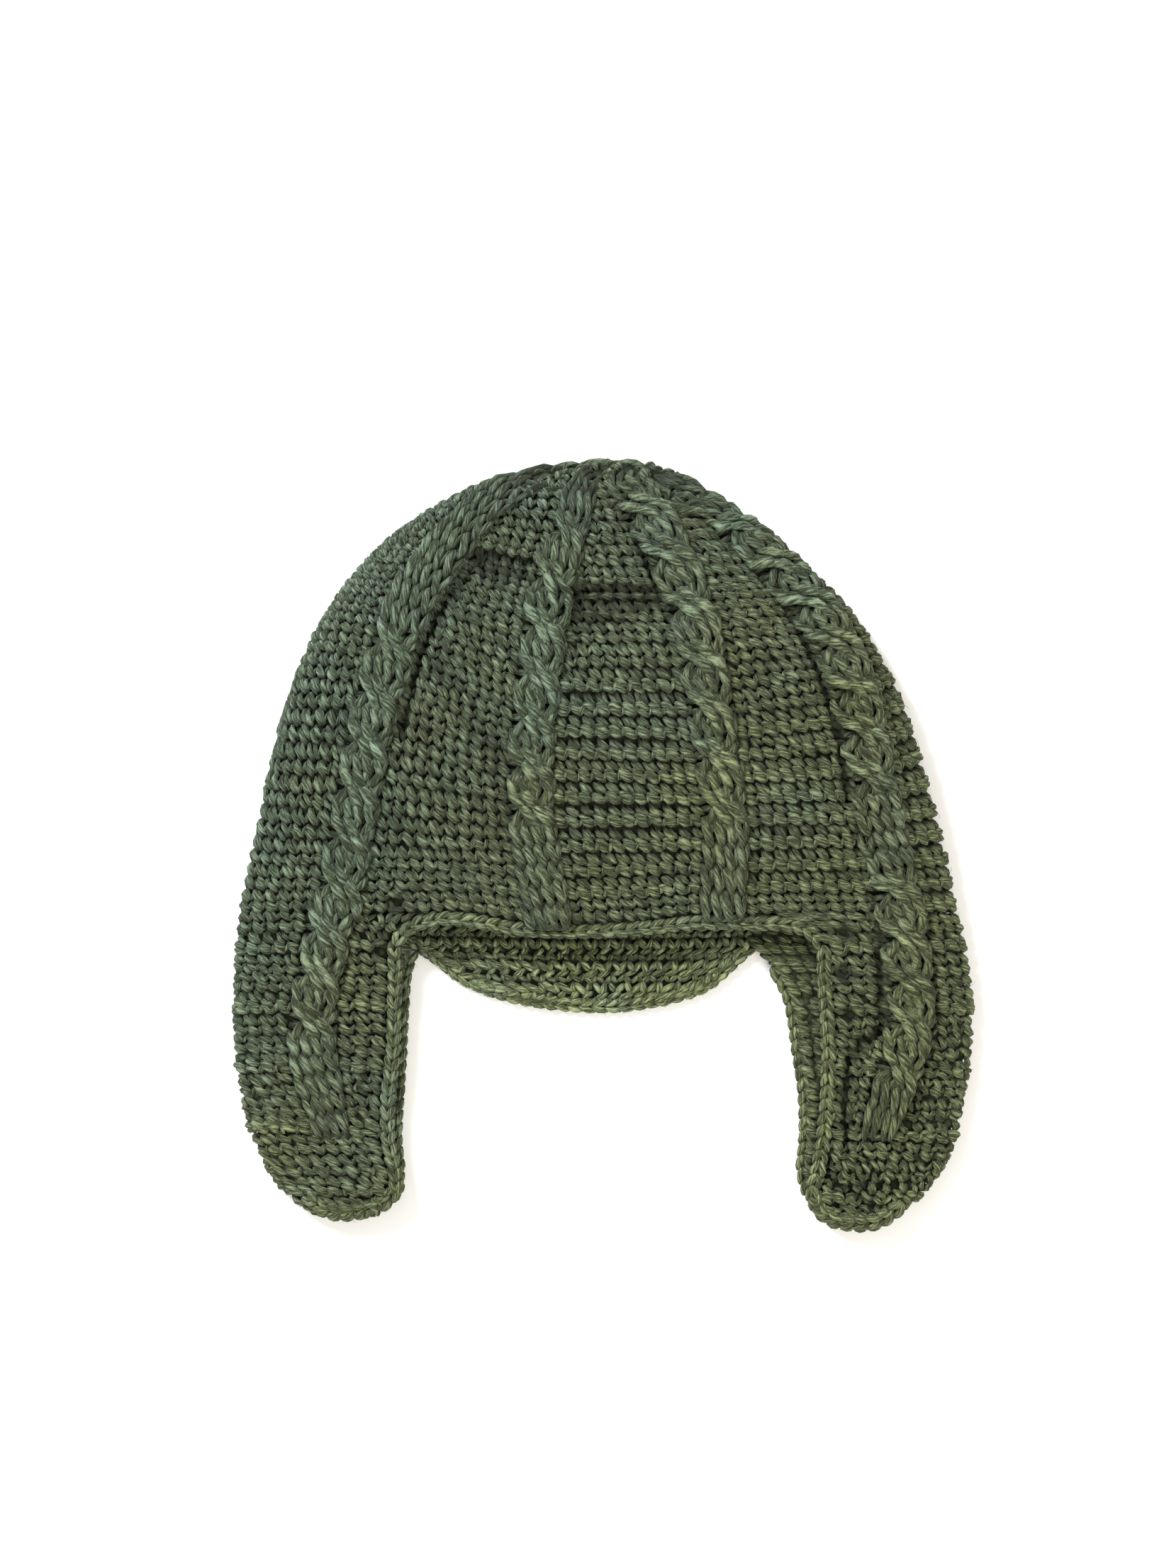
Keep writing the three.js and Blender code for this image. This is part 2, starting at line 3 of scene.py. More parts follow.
import bmesh
import bpy
import numpy as np
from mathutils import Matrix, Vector


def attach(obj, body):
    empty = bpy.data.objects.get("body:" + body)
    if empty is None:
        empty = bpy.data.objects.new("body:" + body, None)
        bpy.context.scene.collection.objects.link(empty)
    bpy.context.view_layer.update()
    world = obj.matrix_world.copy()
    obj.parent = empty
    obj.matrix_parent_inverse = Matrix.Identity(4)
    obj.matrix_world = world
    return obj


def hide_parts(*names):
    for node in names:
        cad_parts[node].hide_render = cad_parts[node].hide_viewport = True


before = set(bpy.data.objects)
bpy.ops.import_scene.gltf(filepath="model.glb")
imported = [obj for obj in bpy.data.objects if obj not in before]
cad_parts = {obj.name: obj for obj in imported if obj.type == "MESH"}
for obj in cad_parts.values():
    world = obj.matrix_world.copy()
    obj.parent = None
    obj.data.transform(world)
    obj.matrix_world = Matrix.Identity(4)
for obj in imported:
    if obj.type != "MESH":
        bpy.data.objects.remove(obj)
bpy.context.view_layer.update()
random = np.random.default_rng(27)

# The cap's form

form = {
    "wall": 4.0,             # thickness of the fabric
    "rimY": -26.0,           # where the crown ends and the flaps begin
    "seam": 0.4,             # left free between the stitches and the edging
    "domeY": 138.5,          # where the crown starts to close over its top
    "domeSpan": 12.0,        # how far its rows go on over that
    "crownTop": (5.0, 146.6, 11.5),
    "frontPower": 5,         # how square each face is across
    "backPower": 18,
    "edgingWidth": 5.0,
    "panelPuff": 2.2,        # how far the fabric swells up between two cables
}

# height, left fold, right fold, height of the front face, of the folds, of the back face
sections = [
    (-147.0, -102.0, 106.5, 11.6, 7.0, 2.6),
    (-142.5, -108.5, 112.0, 12.6, 7.2, 2.1),
    (-136.5, -116.5, 118.5, 13.0, 7.2, 2.0),
    (-129.0, -124.5, 126.5, 13.0, 7.2, 2.0),
    (-120.5, -130.0, 131.5, 13.0, 7.2, 2.0),
    (-110.0, -134.5, 135.5, 13.0, 7.2, 2.0),
    (-92.0, -138.5, 139.0, 13.0, 7.2, 2.0),
    (-70.0, -141.0, 141.0, 13.2, 7.3, 2.0),
    (-52.0, -140.5, 140.2, 14.6, 7.6, 2.0),
    (-38.0, -139.3, 137.6, 17.0, 8.2, 2.0),
    (-26.0, -138.6, 135.2, 20.0, 9.0, 2.0),
    (0.0, -133.5, 129.5, 25.0, 9.6, 3.0),
    (30.0, -126.6, 121.8, 30.0, 10.2, 3.2),
    (60.0, -118.5, 111.5, 33.0, 10.8, 3.2),
    (88.0, -105.5, 95.0, 33.5, 11.2, 3.2),
    (112.0, -86.5, 71.0, 31.0, 11.4, 3.2),
    (128.0, -65.5, 49.0, 26.5, 11.5, 3.4),
    (138.5, -45.5, 30.0, 20.5, 11.5, 4.4),
]

# height, then where each of the eight cables runs, as a share of the width
cableRoutes = [
    (-26.0, 0.137, 0.430, 0.672, 0.925, 0.820, 0.570, 0.320, 0.075),
    (8.0, 0.142, 0.406, 0.688, 0.917, 0.830, 0.575, 0.325, 0.078),
    (38.0, 0.145, 0.401, 0.685, 0.924, 0.845, 0.575, 0.325, 0.080),
    (68.0, 0.150, 0.412, 0.689, 0.933, 0.850, 0.570, 0.330, 0.085),
    (98.0, 0.155, 0.428, 0.702, 0.939, 0.850, 0.565, 0.340, 0.095),
    (118.0, 0.170, 0.468, 0.714, 0.940, 0.850, 0.555, 0.350, 0.110),
    (138.5, 0.165, 0.500, 0.725, 0.930, 0.840, 0.540, 0.370, 0.150),
]

# height, then the flap cables' places across: left front, right front, left back, right back
flapCableRoutes = [
    (-20.0, -102.0, 115.5, -117.0, 101.0),
    (-27.5, -103.5, 115.0, -117.0, 101.0),
    (-46.0, -107.0, 117.0, -115.0, 104.0),
    (-64.0, -110.5, 118.5, -112.0, 106.0),
    (-81.0, -110.5, 115.0, -109.0, 106.0),
    (-96.0, -107.0, 109.5, -106.0, 104.0),
    (-111.0, -103.0, 104.0, -103.0, 102.0),
]

# height, centre of the edging on the flap's front half, and on its back half
leftFlapEdges = [
    (-26.0, -61.0, -71.6), (-28.4, -70.8, -71.6), (-32.5, -76.4, -71.6), (-38.0, -78.9, -71.9),
    (-48.0, -79.0, -75.4), (-60.0, -79.3, -76.6), (-80.0, -80.0, -77.6), (-96.0, -81.8, -78.6),
    (-112.0, -81.8, -79.4), (-124.0, -79.4, -78.4), (-133.0, -79.0, -79.4), (-139.0, -82.0, -82.4),
    (-143.4, -88.5, -88.5),
]
rightFlapEdges = [
    (-26.0, 63.0, 54.0), (-27.8, 69.0, 54.0), (-31.0, 77.6, 54.0), (-38.0, 83.5, 55.6),
    (-48.0, 84.2, 65.8), (-60.0, 84.9, 71.8), (-80.0, 86.0, 75.0), (-96.0, 85.4, 77.3),
    (-112.0, 84.0, 77.6), (-124.0, 82.0, 76.6), (-133.0, 79.8, 78.6), (-140.0, 82.0, 82.0),
    (-146.6, 88.5, 88.5),
]
frontEdge = [
    (-79.0, -38.0), (-77.0, -34.6), (-70.5, -30.2), (-61.0, -28.0), (-48.0, -29.2), (-31.5, -32.0),
    (-10.0, -33.0), (14.0, -31.8), (35.0, -29.6), (55.0, -29.8), (70.0, -30.4), (78.5, -33.0),
    (83.4, -38.0),
]
neckEdge = [
    (-74.2, -38.5), (-64.0, -45.0), (-50.0, -55.0), (-28.0, -61.5), (0.0, -64.0), (22.0, -61.5),
    (39.0, -56.0), (48.0, -48.5), (56.6, -41.0),
]

# across, up, radius, rise of the soft hills and hollows of the front face
swellings = [
    (-43, 108, 10, -3.6), (-44, 117, 9, 1.4), (-10, 88, 9, -2.8), (8, 122, 10, -2.8), (28, 99, 7, -2.6),
    (6, 104, 9, 1.2), (-18, 60, 12, 1.0), (60, 20, 16, 1.2), (60, 62, 12, -1.4), (-70, 20, 15, -1.4),
    (106, -97, 17, 3.2), (86, -62, 8, -1.6), (-94, -121, 16, 1.8), (-92, -96, 7, -2.2), (-122, -60, 13, 1.2),
    (-84, -26, 9, -1.4), (96, -26, 9, -1.2), (100, -119, 10, 1.4),
]
# creases in it: the points along each, its depth and half width
creases = [
    ([(-49, 109.5), (-37, 108), (-28, 106)], 4.2, 2.2),
    ([(-13, 95.6), (4, 96.6), (19, 96)], 4.6, 2.2),
    ([(-14, 56), (26, 55)], 0.9, 1.5),
    ([(-14, 39.3), (27, 38.6)], 1.0, 1.5),
    ([(-16, 14.6), (30, 14.2)], 1.3, 1.5),
    ([(-18, 5.3), (32, 5.6)], 1.0, 1.5),
    ([(-18, -10.2), (32, -9.6)], 1.1, 1.5),
    ([(51, 38), (88, 33)], 1.1, 1.5),
    ([(50, 6), (90, 3)], 1.2, 1.5),
    ([(52, -3), (88, -5)], 0.9, 1.5),
    # valleys beside the cables
    ([(-47, 108), (-55, 97), (-62, 87), (-68.5, 73.5), (-73, 56), (-77, 42)], 3.2, 2.2),
    ([(-64, 70), (-48, 46), (-35, 24), (-36, 8)], 1.6, 5.0),
    ([(-17, 104), (-13, 88), (-10.5, 74)], 2.2, 2.2),
    ([(5.5, 136), (8.2, 125.4), (14.4, 112), (20.4, 98.4), (25.6, 86.4)], 4.4, 2.2),
    ([(32, 133), (41.5, 121.5), (51.5, 110.6), (58.6, 103.6), (66, 93.6), (73.6, 83), (81.3, 66), (88.2, 48),
      (90.8, 34), (92.4, 19)], 5.0, 2.3),
    # hollows under the folds near the top
    ([(-12, 91), (18, 91.5)], 3.8, 4.0),
    ([(-12, 86), (4, 85)], 2.8, 4.5),
    ([(-46, 104.5), (-31, 102)], 4.0, 4.2),
    # the flaps' folds
    ([(96, 4), (102.5, -10), (105, -26), (105.5, -45), (106.5, -62), (107.5, -70.5), (101, -74), (96, -78),
      (93.5, -86.5), (92, -98), (93.5, -114)], 4.2, 2.2),
    ([(84.5, -119), (86.5, -125.5), (94, -132), (104.5, -139.5)], 3.8, 2.2),
    ([(-91, -88), (-93, -104)], 1.6, 2.6),
    ([(-128, -71), (-118, -76)], 1.4, 2.2),
]
# where a cable stands out more than elsewhere: the points along it, how much, half width
risenCables = [
    ([(14, 139), (19, 125), (26, 112), (31, 98.4), (36, 86), (38, 66)], 3.4, 6.5),
    ([(38, 134), (50, 126.5), (62, 116), (70, 108), (79, 97), (88, 86), (94, 68)], 3.4, 6.0),
    ([(-44, 128), (-51, 112), (-60, 98), (-69, 84)], 1.6, 6.5),
    ([(-11, 126), (-13, 108), (-19, 90)], 1.2, 5.0),
]
# small holes that the working of the corners left
holes = [(-79.0, -22.7), (-84.1, -40.5), (91.7, -33.8), (91.7, -48.9), (93.6, -65.3)]


def smoothTable(table, place):
    rows = np.array(table, float)
    if rows[0, 0] > rows[-1, 0]:
        rows = rows[::-1]
    keys = rows[:, 0]
    place = np.asarray(place, float)
    i = np.clip(np.searchsorted(keys, place, side="right") - 1, 0, len(keys) - 2)
    before = np.maximum(i - 1, 0)
    after = np.minimum(i + 2, len(keys) - 1)
    span = (keys[i + 1] - keys[i])[..., None]
    t = np.clip((place - keys[i])[..., None] / span, 0, 1)
    a = rows[i, 1:]
    b = rows[i + 1, 1:]
    slopeA = (b - rows[before, 1:]) / (keys[i + 1] - keys[before])[..., None] * span
    slopeB = (rows[after, 1:] - a) / (keys[after] - keys[i])[..., None] * span
    t2 = t * t
    t3 = t2 * t
    return (2 * t3 - 3 * t2 + 1) * a + (t3 - 2 * t2 + t) * slopeA + (3 * t2 - 2 * t3) * b + (t3 - t2) * slopeB


def smoothStep(x, low, high):
    t = np.clip((x - low) / (high - low), 0, 1)
    return t * t * (3 - 2 * t)


def reliefAlong(table, x, y):
    depth = np.zeros_like(x)
    for line, deep, reach in table:
        for (x0, y0), (x1, y1) in zip(line[:-1], line[1:]):
            dx = x1 - x0
            dy = y1 - y0
            t = np.clip(((x - x0) * dx + (y - y0) * dy) / (dx * dx + dy * dy), 0, 1)
            away = (x - x0 - t * dx) ** 2 + (y - y0 - t * dy) ** 2
            depth = np.maximum(depth, deep * np.exp(-away / reach ** 2))
    return depth


# Creases and swellings are worked out once, at every millimetre, and looked up from then on.
reliefReach = 160            # how far they reach to the left and down
reliefX, reliefY = np.meshgrid(np.arange(-reliefReach, 161.0), np.arange(-reliefReach, 171.0))
creaseGrid = reliefAlong(creases, reliefX, reliefY)
swellGrid = reliefAlong(risenCables, reliefX, reliefY) - creaseGrid
for hillX, hillY, hillRadius, hillHeight in swellings:
    swellGrid = swellGrid + hillHeight * np.exp(
        -((reliefX - hillX) ** 2 + (reliefY - hillY) ** 2) / hillRadius ** 2)


def lookUp(grid, x, y):
    x = np.clip(x + reliefReach, 0, grid.shape[1] - 1.001)
    y = np.clip(y + reliefReach, 0, grid.shape[0] - 1.001)
    i = x.astype(int)
    j = y.astype(int)
    u = x - i
    v = y - j
    return ((grid[j, i] * (1 - u) + grid[j, i + 1] * u) * (1 - v)
            + (grid[j + 1, i] * (1 - u) + grid[j + 1, i + 1] * u) * v)


def frontRelief(x, y, share):
    rise = lookUp(swellGrid, x, y)
    routes = smoothTable(cableRoutes, y)
    bounds = np.concatenate([0 * routes[..., :1], routes[..., :4], 0 * routes[..., :1] + 1], -1)
    i = np.clip((bounds <= share[..., None]).sum(-1) - 1, 0, 4)
    low = np.take_along_axis(bounds, i[..., None], -1)[..., 0]
    high = np.take_along_axis(bounds, i[..., None] + 1, -1)[..., 0]
    across = np.clip((share - low) / (high - low), 0, 1)
    fade = smoothStep(y, form["rimY"], form["rimY"] + 25) * (1 - smoothStep(y, 110, form["domeY"]))
    rise = rise + form["panelPuff"] * fade * (np.sin(np.pi * across) - 0.45)
    return rise * np.minimum(1, 12 * np.clip(np.minimum(share, 1 - share), 0, 1))


# How narrow the cap has become where it closes over its top
def domeShrink(climb):
    t = np.clip((climb - form["domeY"]) / form["domeSpan"], 0, 1)
    return np.cos(t * np.pi / 2) * (1 - 0.5 * t)


# A point of the closed cap. The turn goes round it, 0 at the left fold, 1 at the right one
# and on over the back to 2, and the climb is the height, which goes on over the top.
def flapSurface(turn, climb, inset=0.0):
    turn, climb = np.broadcast_arrays(np.asarray(turn, float), np.asarray(climb, float))
    whole = np.mod(turn, 2)
    front = whole <= 1
    share = (1 - np.cos(np.pi * whole)) / 2
    y = np.minimum(climb, form["domeY"])
    left, right, top, fold, back = np.moveaxis(smoothTable(sections, y), -1, 0)
    over = np.clip((climb - form["domeY"]) / form["domeSpan"], 0, 1) * np.pi / 2
    shrink = domeShrink(climb)
    rise = np.sin(over)
    half = (right - left) / 2 - inset
    middle = (right + left) / 2 * (1 - rise) + form["crownTop"][0] * rise
    x = middle + (2 * share - 1) * half * shrink
    power = np.where(front, form["frontPower"], form["backPower"])
    swell = np.sqrt(np.maximum(1 - np.abs(2 * share - 1) ** power, 0))
    foldZ = fold * (1 - rise) + form["crownTop"][2] * rise
    up = (top - fold - inset + frontRelief(x, y, share)) * swell * shrink
    down = (fold - back - inset) * swell * shrink
    z = foldZ + np.where(front, up, -down)
    return np.stack([x, y + (form["crownTop"][1] - form["domeY"] - 0.4 * inset) * rise, z], -1)


# The crown's front hangs lower than the rest of its rim, down to the edging.
def crownSurface(turn, climb, inset=0.0):
    point = flapSurface(turn, climb, inset)
    level = flapSurface(turn, np.full(point.shape[:-1], form["rimY"]))
    x = level[..., 0]
    edge = smoothTable(frontEdge, x)[..., 0] + form["edgingWidth"] / 2 + form["seam"]
    inside = smoothStep(x, -66, -58) * (1 - smoothStep(x, 57, 65)) * (np.mod(turn, 2) <= 1)
    fade = (1 - np.clip((climb - form["rimY"]) / 30, 0, 1)) ** 2
    point[..., 1] += (edge - form["rimY"]) * inside * fade
    return point


def turnAt(x, y, back=False):
    left, right = np.moveaxis(smoothTable(sections, y)[..., :2], -1, 0)
    share = np.clip((x - left) / (right - left), 0, 1)
    turn = np.arccos(1 - 2 * share) / np.pi
    return 2 - turn if back else turn


def unit(v):
    return v / np.maximum(np.linalg.norm(v, axis=-1, keepdims=True), 1e-9)


# how far along a line each of its points lies
def lengthAlong(points):
    return np.concatenate([[0], np.cumsum(np.linalg.norm(np.diff(points, axis=0), axis=1))])


turnStep = 0.004             # how far apart a surface is felt for its slopes
climbStep = 0.5


def surfaceFrame(surface, a, b, stepA=turnStep):
    point = surface(a, b)
    alongA = (surface(a + stepA, b) - surface(a - stepA, b)) / (2 * stepA)
    alongB = (surface(a, b + climbStep) - surface(a, b - climbStep)) / (2 * climbStep)
    return point, unit(np.cross(alongA, alongB)), alongA, alongB


# Yarn

yarn = {
    "radius": 1.25,          # half the thickness of the plied yarn
    "lift": -2.3,            # where the strands' centres start, below the fabric's outside
    "sides": 6,
    "backSides": 5,
    "samples": 6,            # points along a strand
    "backSamples": 5,
    "wander": 0.19,          # how unevenly a hand works it
}


def strandLine(controls, samples):
    points = np.array(controls, float)
    place = lengthAlong(points[:, :3])
    return smoothTable(np.column_stack([place, points]), np.linspace(0, place[-1], samples))


def newBatch():
    return {"points": [], "radius": [], "height": [], "tone": []}


# height: a value from how high the strand lies in the fabric; the material paints shade from it, darker the
# lower it is
def addStrands(batch, points, radius, height, tone=None):
    points = np.array(points, float)
    count = points.shape[0]
    radius = np.broadcast_to(radius, points.shape[:2])
    points[..., 2] = np.maximum(points[..., 2], radius)
    batch["points"].append(points)
    batch["radius"].append(radius)
    batch["height"].append(np.broadcast_to(height, points.shape[:2]))
    batch["tone"].append(random.random(count) if tone is None else np.asarray(tone))


def linear(code):
    channels = [int(code[i:i + 2], 16) / 255 for i in (1, 3, 5)]
    return [c / 12.92 if c <= 0.04045 else ((c + 0.055) / 1.055) ** 2.4 for c in channels] + [1.0]


def addNode(tree, kind, inputs=None, **settings):
    node = tree.nodes.new(kind)
    for key, value in settings.items():
        setattr(node, key, value)
    for key, value in (inputs or {}).items():
        if isinstance(value, bpy.types.NodeSocket):
            tree.links.new(value, node.inputs[key])
        else:
            node.inputs[key].default_value = value
    return node


# Geometry Nodes: turns drawn lines into round strands of yarn
def makeYarnTree():
    tree = bpy.data.node_groups.new("roundYarn", "GeometryNodeTree")
    sockets = (("Geometry", "Geometry"), ("Sides", "Int"), ("Thickness", "Float"), ("Material", "Material"))
    for name, kind in sockets:
        tree.interface.new_socket(name, in_out="INPUT", socket_type="NodeSocket" + kind)
    tree.interface.new_socket("Geometry", in_out="OUTPUT", socket_type="NodeSocketGeometry")
    given = addNode(tree, "NodeGroupInput")
    lines = addNode(tree, "GeometryNodeMeshToCurve", {"Mesh": given.outputs["Geometry"]})
    ring = addNode(tree, "GeometryNodeCurvePrimitiveCircle",
                   {"Resolution": given.outputs["Sides"], "Radius": 0.001})
    place = addNode(tree, "GeometryNodeInputPosition")
    around = addNode(tree, "ShaderNodeVectorMath", {0: place.outputs[0], "Scale": 1000.0}, operation="SCALE")
    marked = addNode(tree, "GeometryNodeStoreNamedAttribute",
                     {"Geometry": ring.outputs[0], "Name": "around", "Value": around.outputs[0]},
                     data_type="FLOAT_VECTOR", domain="POINT")
    radius = addNode(tree, "GeometryNodeInputNamedAttribute", {"Name": "radius"}, data_type="FLOAT")
    scale = addNode(tree, "ShaderNodeMath", {0: radius.outputs[0], 1: given.outputs["Thickness"]},
                    operation="MULTIPLY")
    tube = addNode(tree, "GeometryNodeCurveToMesh",
                   {"Curve": lines.outputs[0], "Profile Curve": marked.outputs[0], "Scale": scale.outputs[0],
                    "Fill Caps": True})
    smooth = addNode(tree, "GeometryNodeSetShadeSmooth", {"Geometry": tube.outputs[0]})
    real = addNode(tree, "GeometryNodeRealizeInstances", {"Geometry": smooth.outputs[0]})
    done = addNode(tree, "GeometryNodeSetMaterial",
                   {"Geometry": real.outputs[0], "Material": given.outputs["Material"]})
    addNode(tree, "NodeGroupOutput", {"Geometry": done.outputs[0]})
    return tree


yarnTree = makeYarnTree()


def addObject(name, data):
    added = bpy.data.objects.new(name, data)
    bpy.context.scene.collection.objects.link(added)
    return added


def countTriangles(mesh):
    return sum(len(p.vertices) - 2 for p in mesh.polygons)


def finishPiece(piece, replaced):
    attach(piece, "root")
    if replaced:
        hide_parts(*replaced)


# Fine fibres that have come loose from the yarn and stand off it
fuzz = {
    "share": 0.40,           # of the strands that have one
    "length": (1.6, 4.2),
    "standOff": (0.2, 0.9),  # how far the middle of one rises off the yarn
    "above": 0.9,            # only strands that stand this high in the fabric have one
    "tone": 1.8,             # height value for their painted shade: as high as a strand that gets none
    "thickness": 0.055,      # half of it, as coarse as it shows
    "sides": 3,
    "samples": 4,
}
looseFibres = newBatch()


def pullFibres(batch):
    for points, radius, height, tone in zip(*(batch[key] for key in ("points", "radius", "height", "tone"))):
        count, samples = points.shape[:2]
        chosen = np.nonzero(random.random(count) < fuzz["share"])[0]
        middle = random.integers(1, samples - 1, len(chosen))
        high = height[chosen, middle] > fuzz["above"]
        chosen = chosen[high]
        middle = middle[high]
        if len(chosen) == 0:
            continue
        at = points[chosen, middle]
        along = unit(points[chosen, middle + 1] - points[chosen, middle - 1])
        out = random.normal(0, 1, at.shape)
        out = unit(out - (out * along).sum(-1, keepdims=True) * along)
        swing = random.normal(0, 1, (2, len(chosen), 1))
        heading = unit(along * swing[0] + np.cross(along, out) * swing[1])
        length = random.uniform(*fuzz["length"], (len(chosen), 1))
        off = random.uniform(*fuzz["standOff"], (len(chosen), 1))
        thick = radius[chosen, middle][:, None]
        t = np.linspace(0, 1, fuzz["samples"])[None, :, None]
        path = (at + out * thick * 0.8)[:, None] + heading[:, None] * length[:, None] * t
        path = path + out[:, None] * (off[:, None] * np.sin(t * 2.4))
        addStrands(looseFibres, path, fuzz["thickness"], fuzz["tone"], tone[chosen])


def makeYarn(name, batch, material, sides, replaced=()):
    if batch is not looseFibres:
        pullFibres(batch)
    points = np.concatenate([p.reshape(-1, 3) for p in batch["points"]])
    lengths = np.concatenate([np.full(len(p), p.shape[1]) for p in batch["points"]])
    starts = np.concatenate([[0], np.cumsum(lengths)[:-1]])
    joined = np.ones(len(points), bool)
    joined[starts + lengths - 1] = False
    first = np.nonzero(joined)[0]
    steps = np.zeros(len(points))
    steps[first + 1] = np.linalg.norm(points[first + 1] - points[first], axis=1)
    along = np.cumsum(steps)
    along -= np.repeat(along[starts], lengths)
    mesh = bpy.data.meshes.new(name + "_lines")
    mesh.from_pydata([], [], [])
    mesh.vertices.add(len(points))
    mesh.vertices.foreach_set("co", (points * 0.001).astype(np.float32).ravel())
    mesh.edges.add(len(first))
    mesh.edges.foreach_set("vertices", np.column_stack([first, first + 1]).astype(np.int32).ravel())
    tone = np.repeat(np.concatenate(batch["tone"]), lengths)
    radius = np.concatenate([r.reshape(-1) for r in batch["radius"]])
    height = np.concatenate([h.reshape(-1) for h in batch["height"]])
    for key, values in (("radius", radius), ("along", along), ("tone", tone), ("height", height)):
        mesh.attributes.new(key, "FLOAT", "POINT").data.foreach_set("value", values.astype(np.float32))
    mesh.update()
    drawn = addObject(name + "_lines", mesh)
    modifier = drawn.modifiers.new("roundYarn", "NODES")
    modifier.node_group = yarnTree
    sockets = {item.name: item.identifier for item in yarnTree.interface.items_tree if item.in_out == "INPUT"}
    modifier[sockets["Sides"]] = sides
    modifier[sockets["Thickness"]] = 1.0
    modifier[sockets["Material"]] = material
    made = bpy.data.meshes.new_from_object(drawn.evaluated_get(bpy.context.evaluated_depsgraph_get()))
    made.name = name
    piece = addObject(name, made)
    drawn.modifiers.remove(modifier)
    bpy.data.objects.remove(drawn)
    bpy.data.meshes.remove(mesh)
    finishPiece(piece, replaced)
    print(name, len(lengths), "strands,", countTriangles(made), "triangles")


# Materials

def newMaterial(name):
    material = bpy.data.materials.new(name)
    material.use_nodes = True
    material.node_tree.nodes.clear()
    return material, material.node_tree


# the darker and the lighter end of a colour ramp
def spanRamp(ramp, *ends):
    for element, (position, colour) in zip(ramp.elements, ends):
        element.position = position
        element.color = linear(colour)


# Wool and acrylic blend, carded and plied: matte, with fine filaments that run along the
# strand and twist slowly round it. Painted light and shade: tinted cooler towards the key light
# at the upper left and warmer to the lower right, and painted dark olive in the gaps.
blend = {
    "shade": "#2b2f1b",
    "mid": "#4f5843",
    "light": "#818d73",
    # painted light: the cool tint is for the yarn towards the key light, the warm one for the yarn towards
    # the fill
    "cool": (0.90, 1.01, 1.08),   # what the yarn's colour is multiplied by in the cool areas
    "warm": (1.06, 1.0, 0.73),   # and in the warm ones
    # painted shade: the dark olive that the yarn turns to where it lies low between the strands
    "deep": "#1a1b0b",
    "twist": 0.32,           # radians a millimetre
    "filament": 0.68,        # millimetres across a filament, as coarse as it shows
    "filamentLength": 4.5,
    "patch": 34.0,           # size of the cooler and warmer areas
}


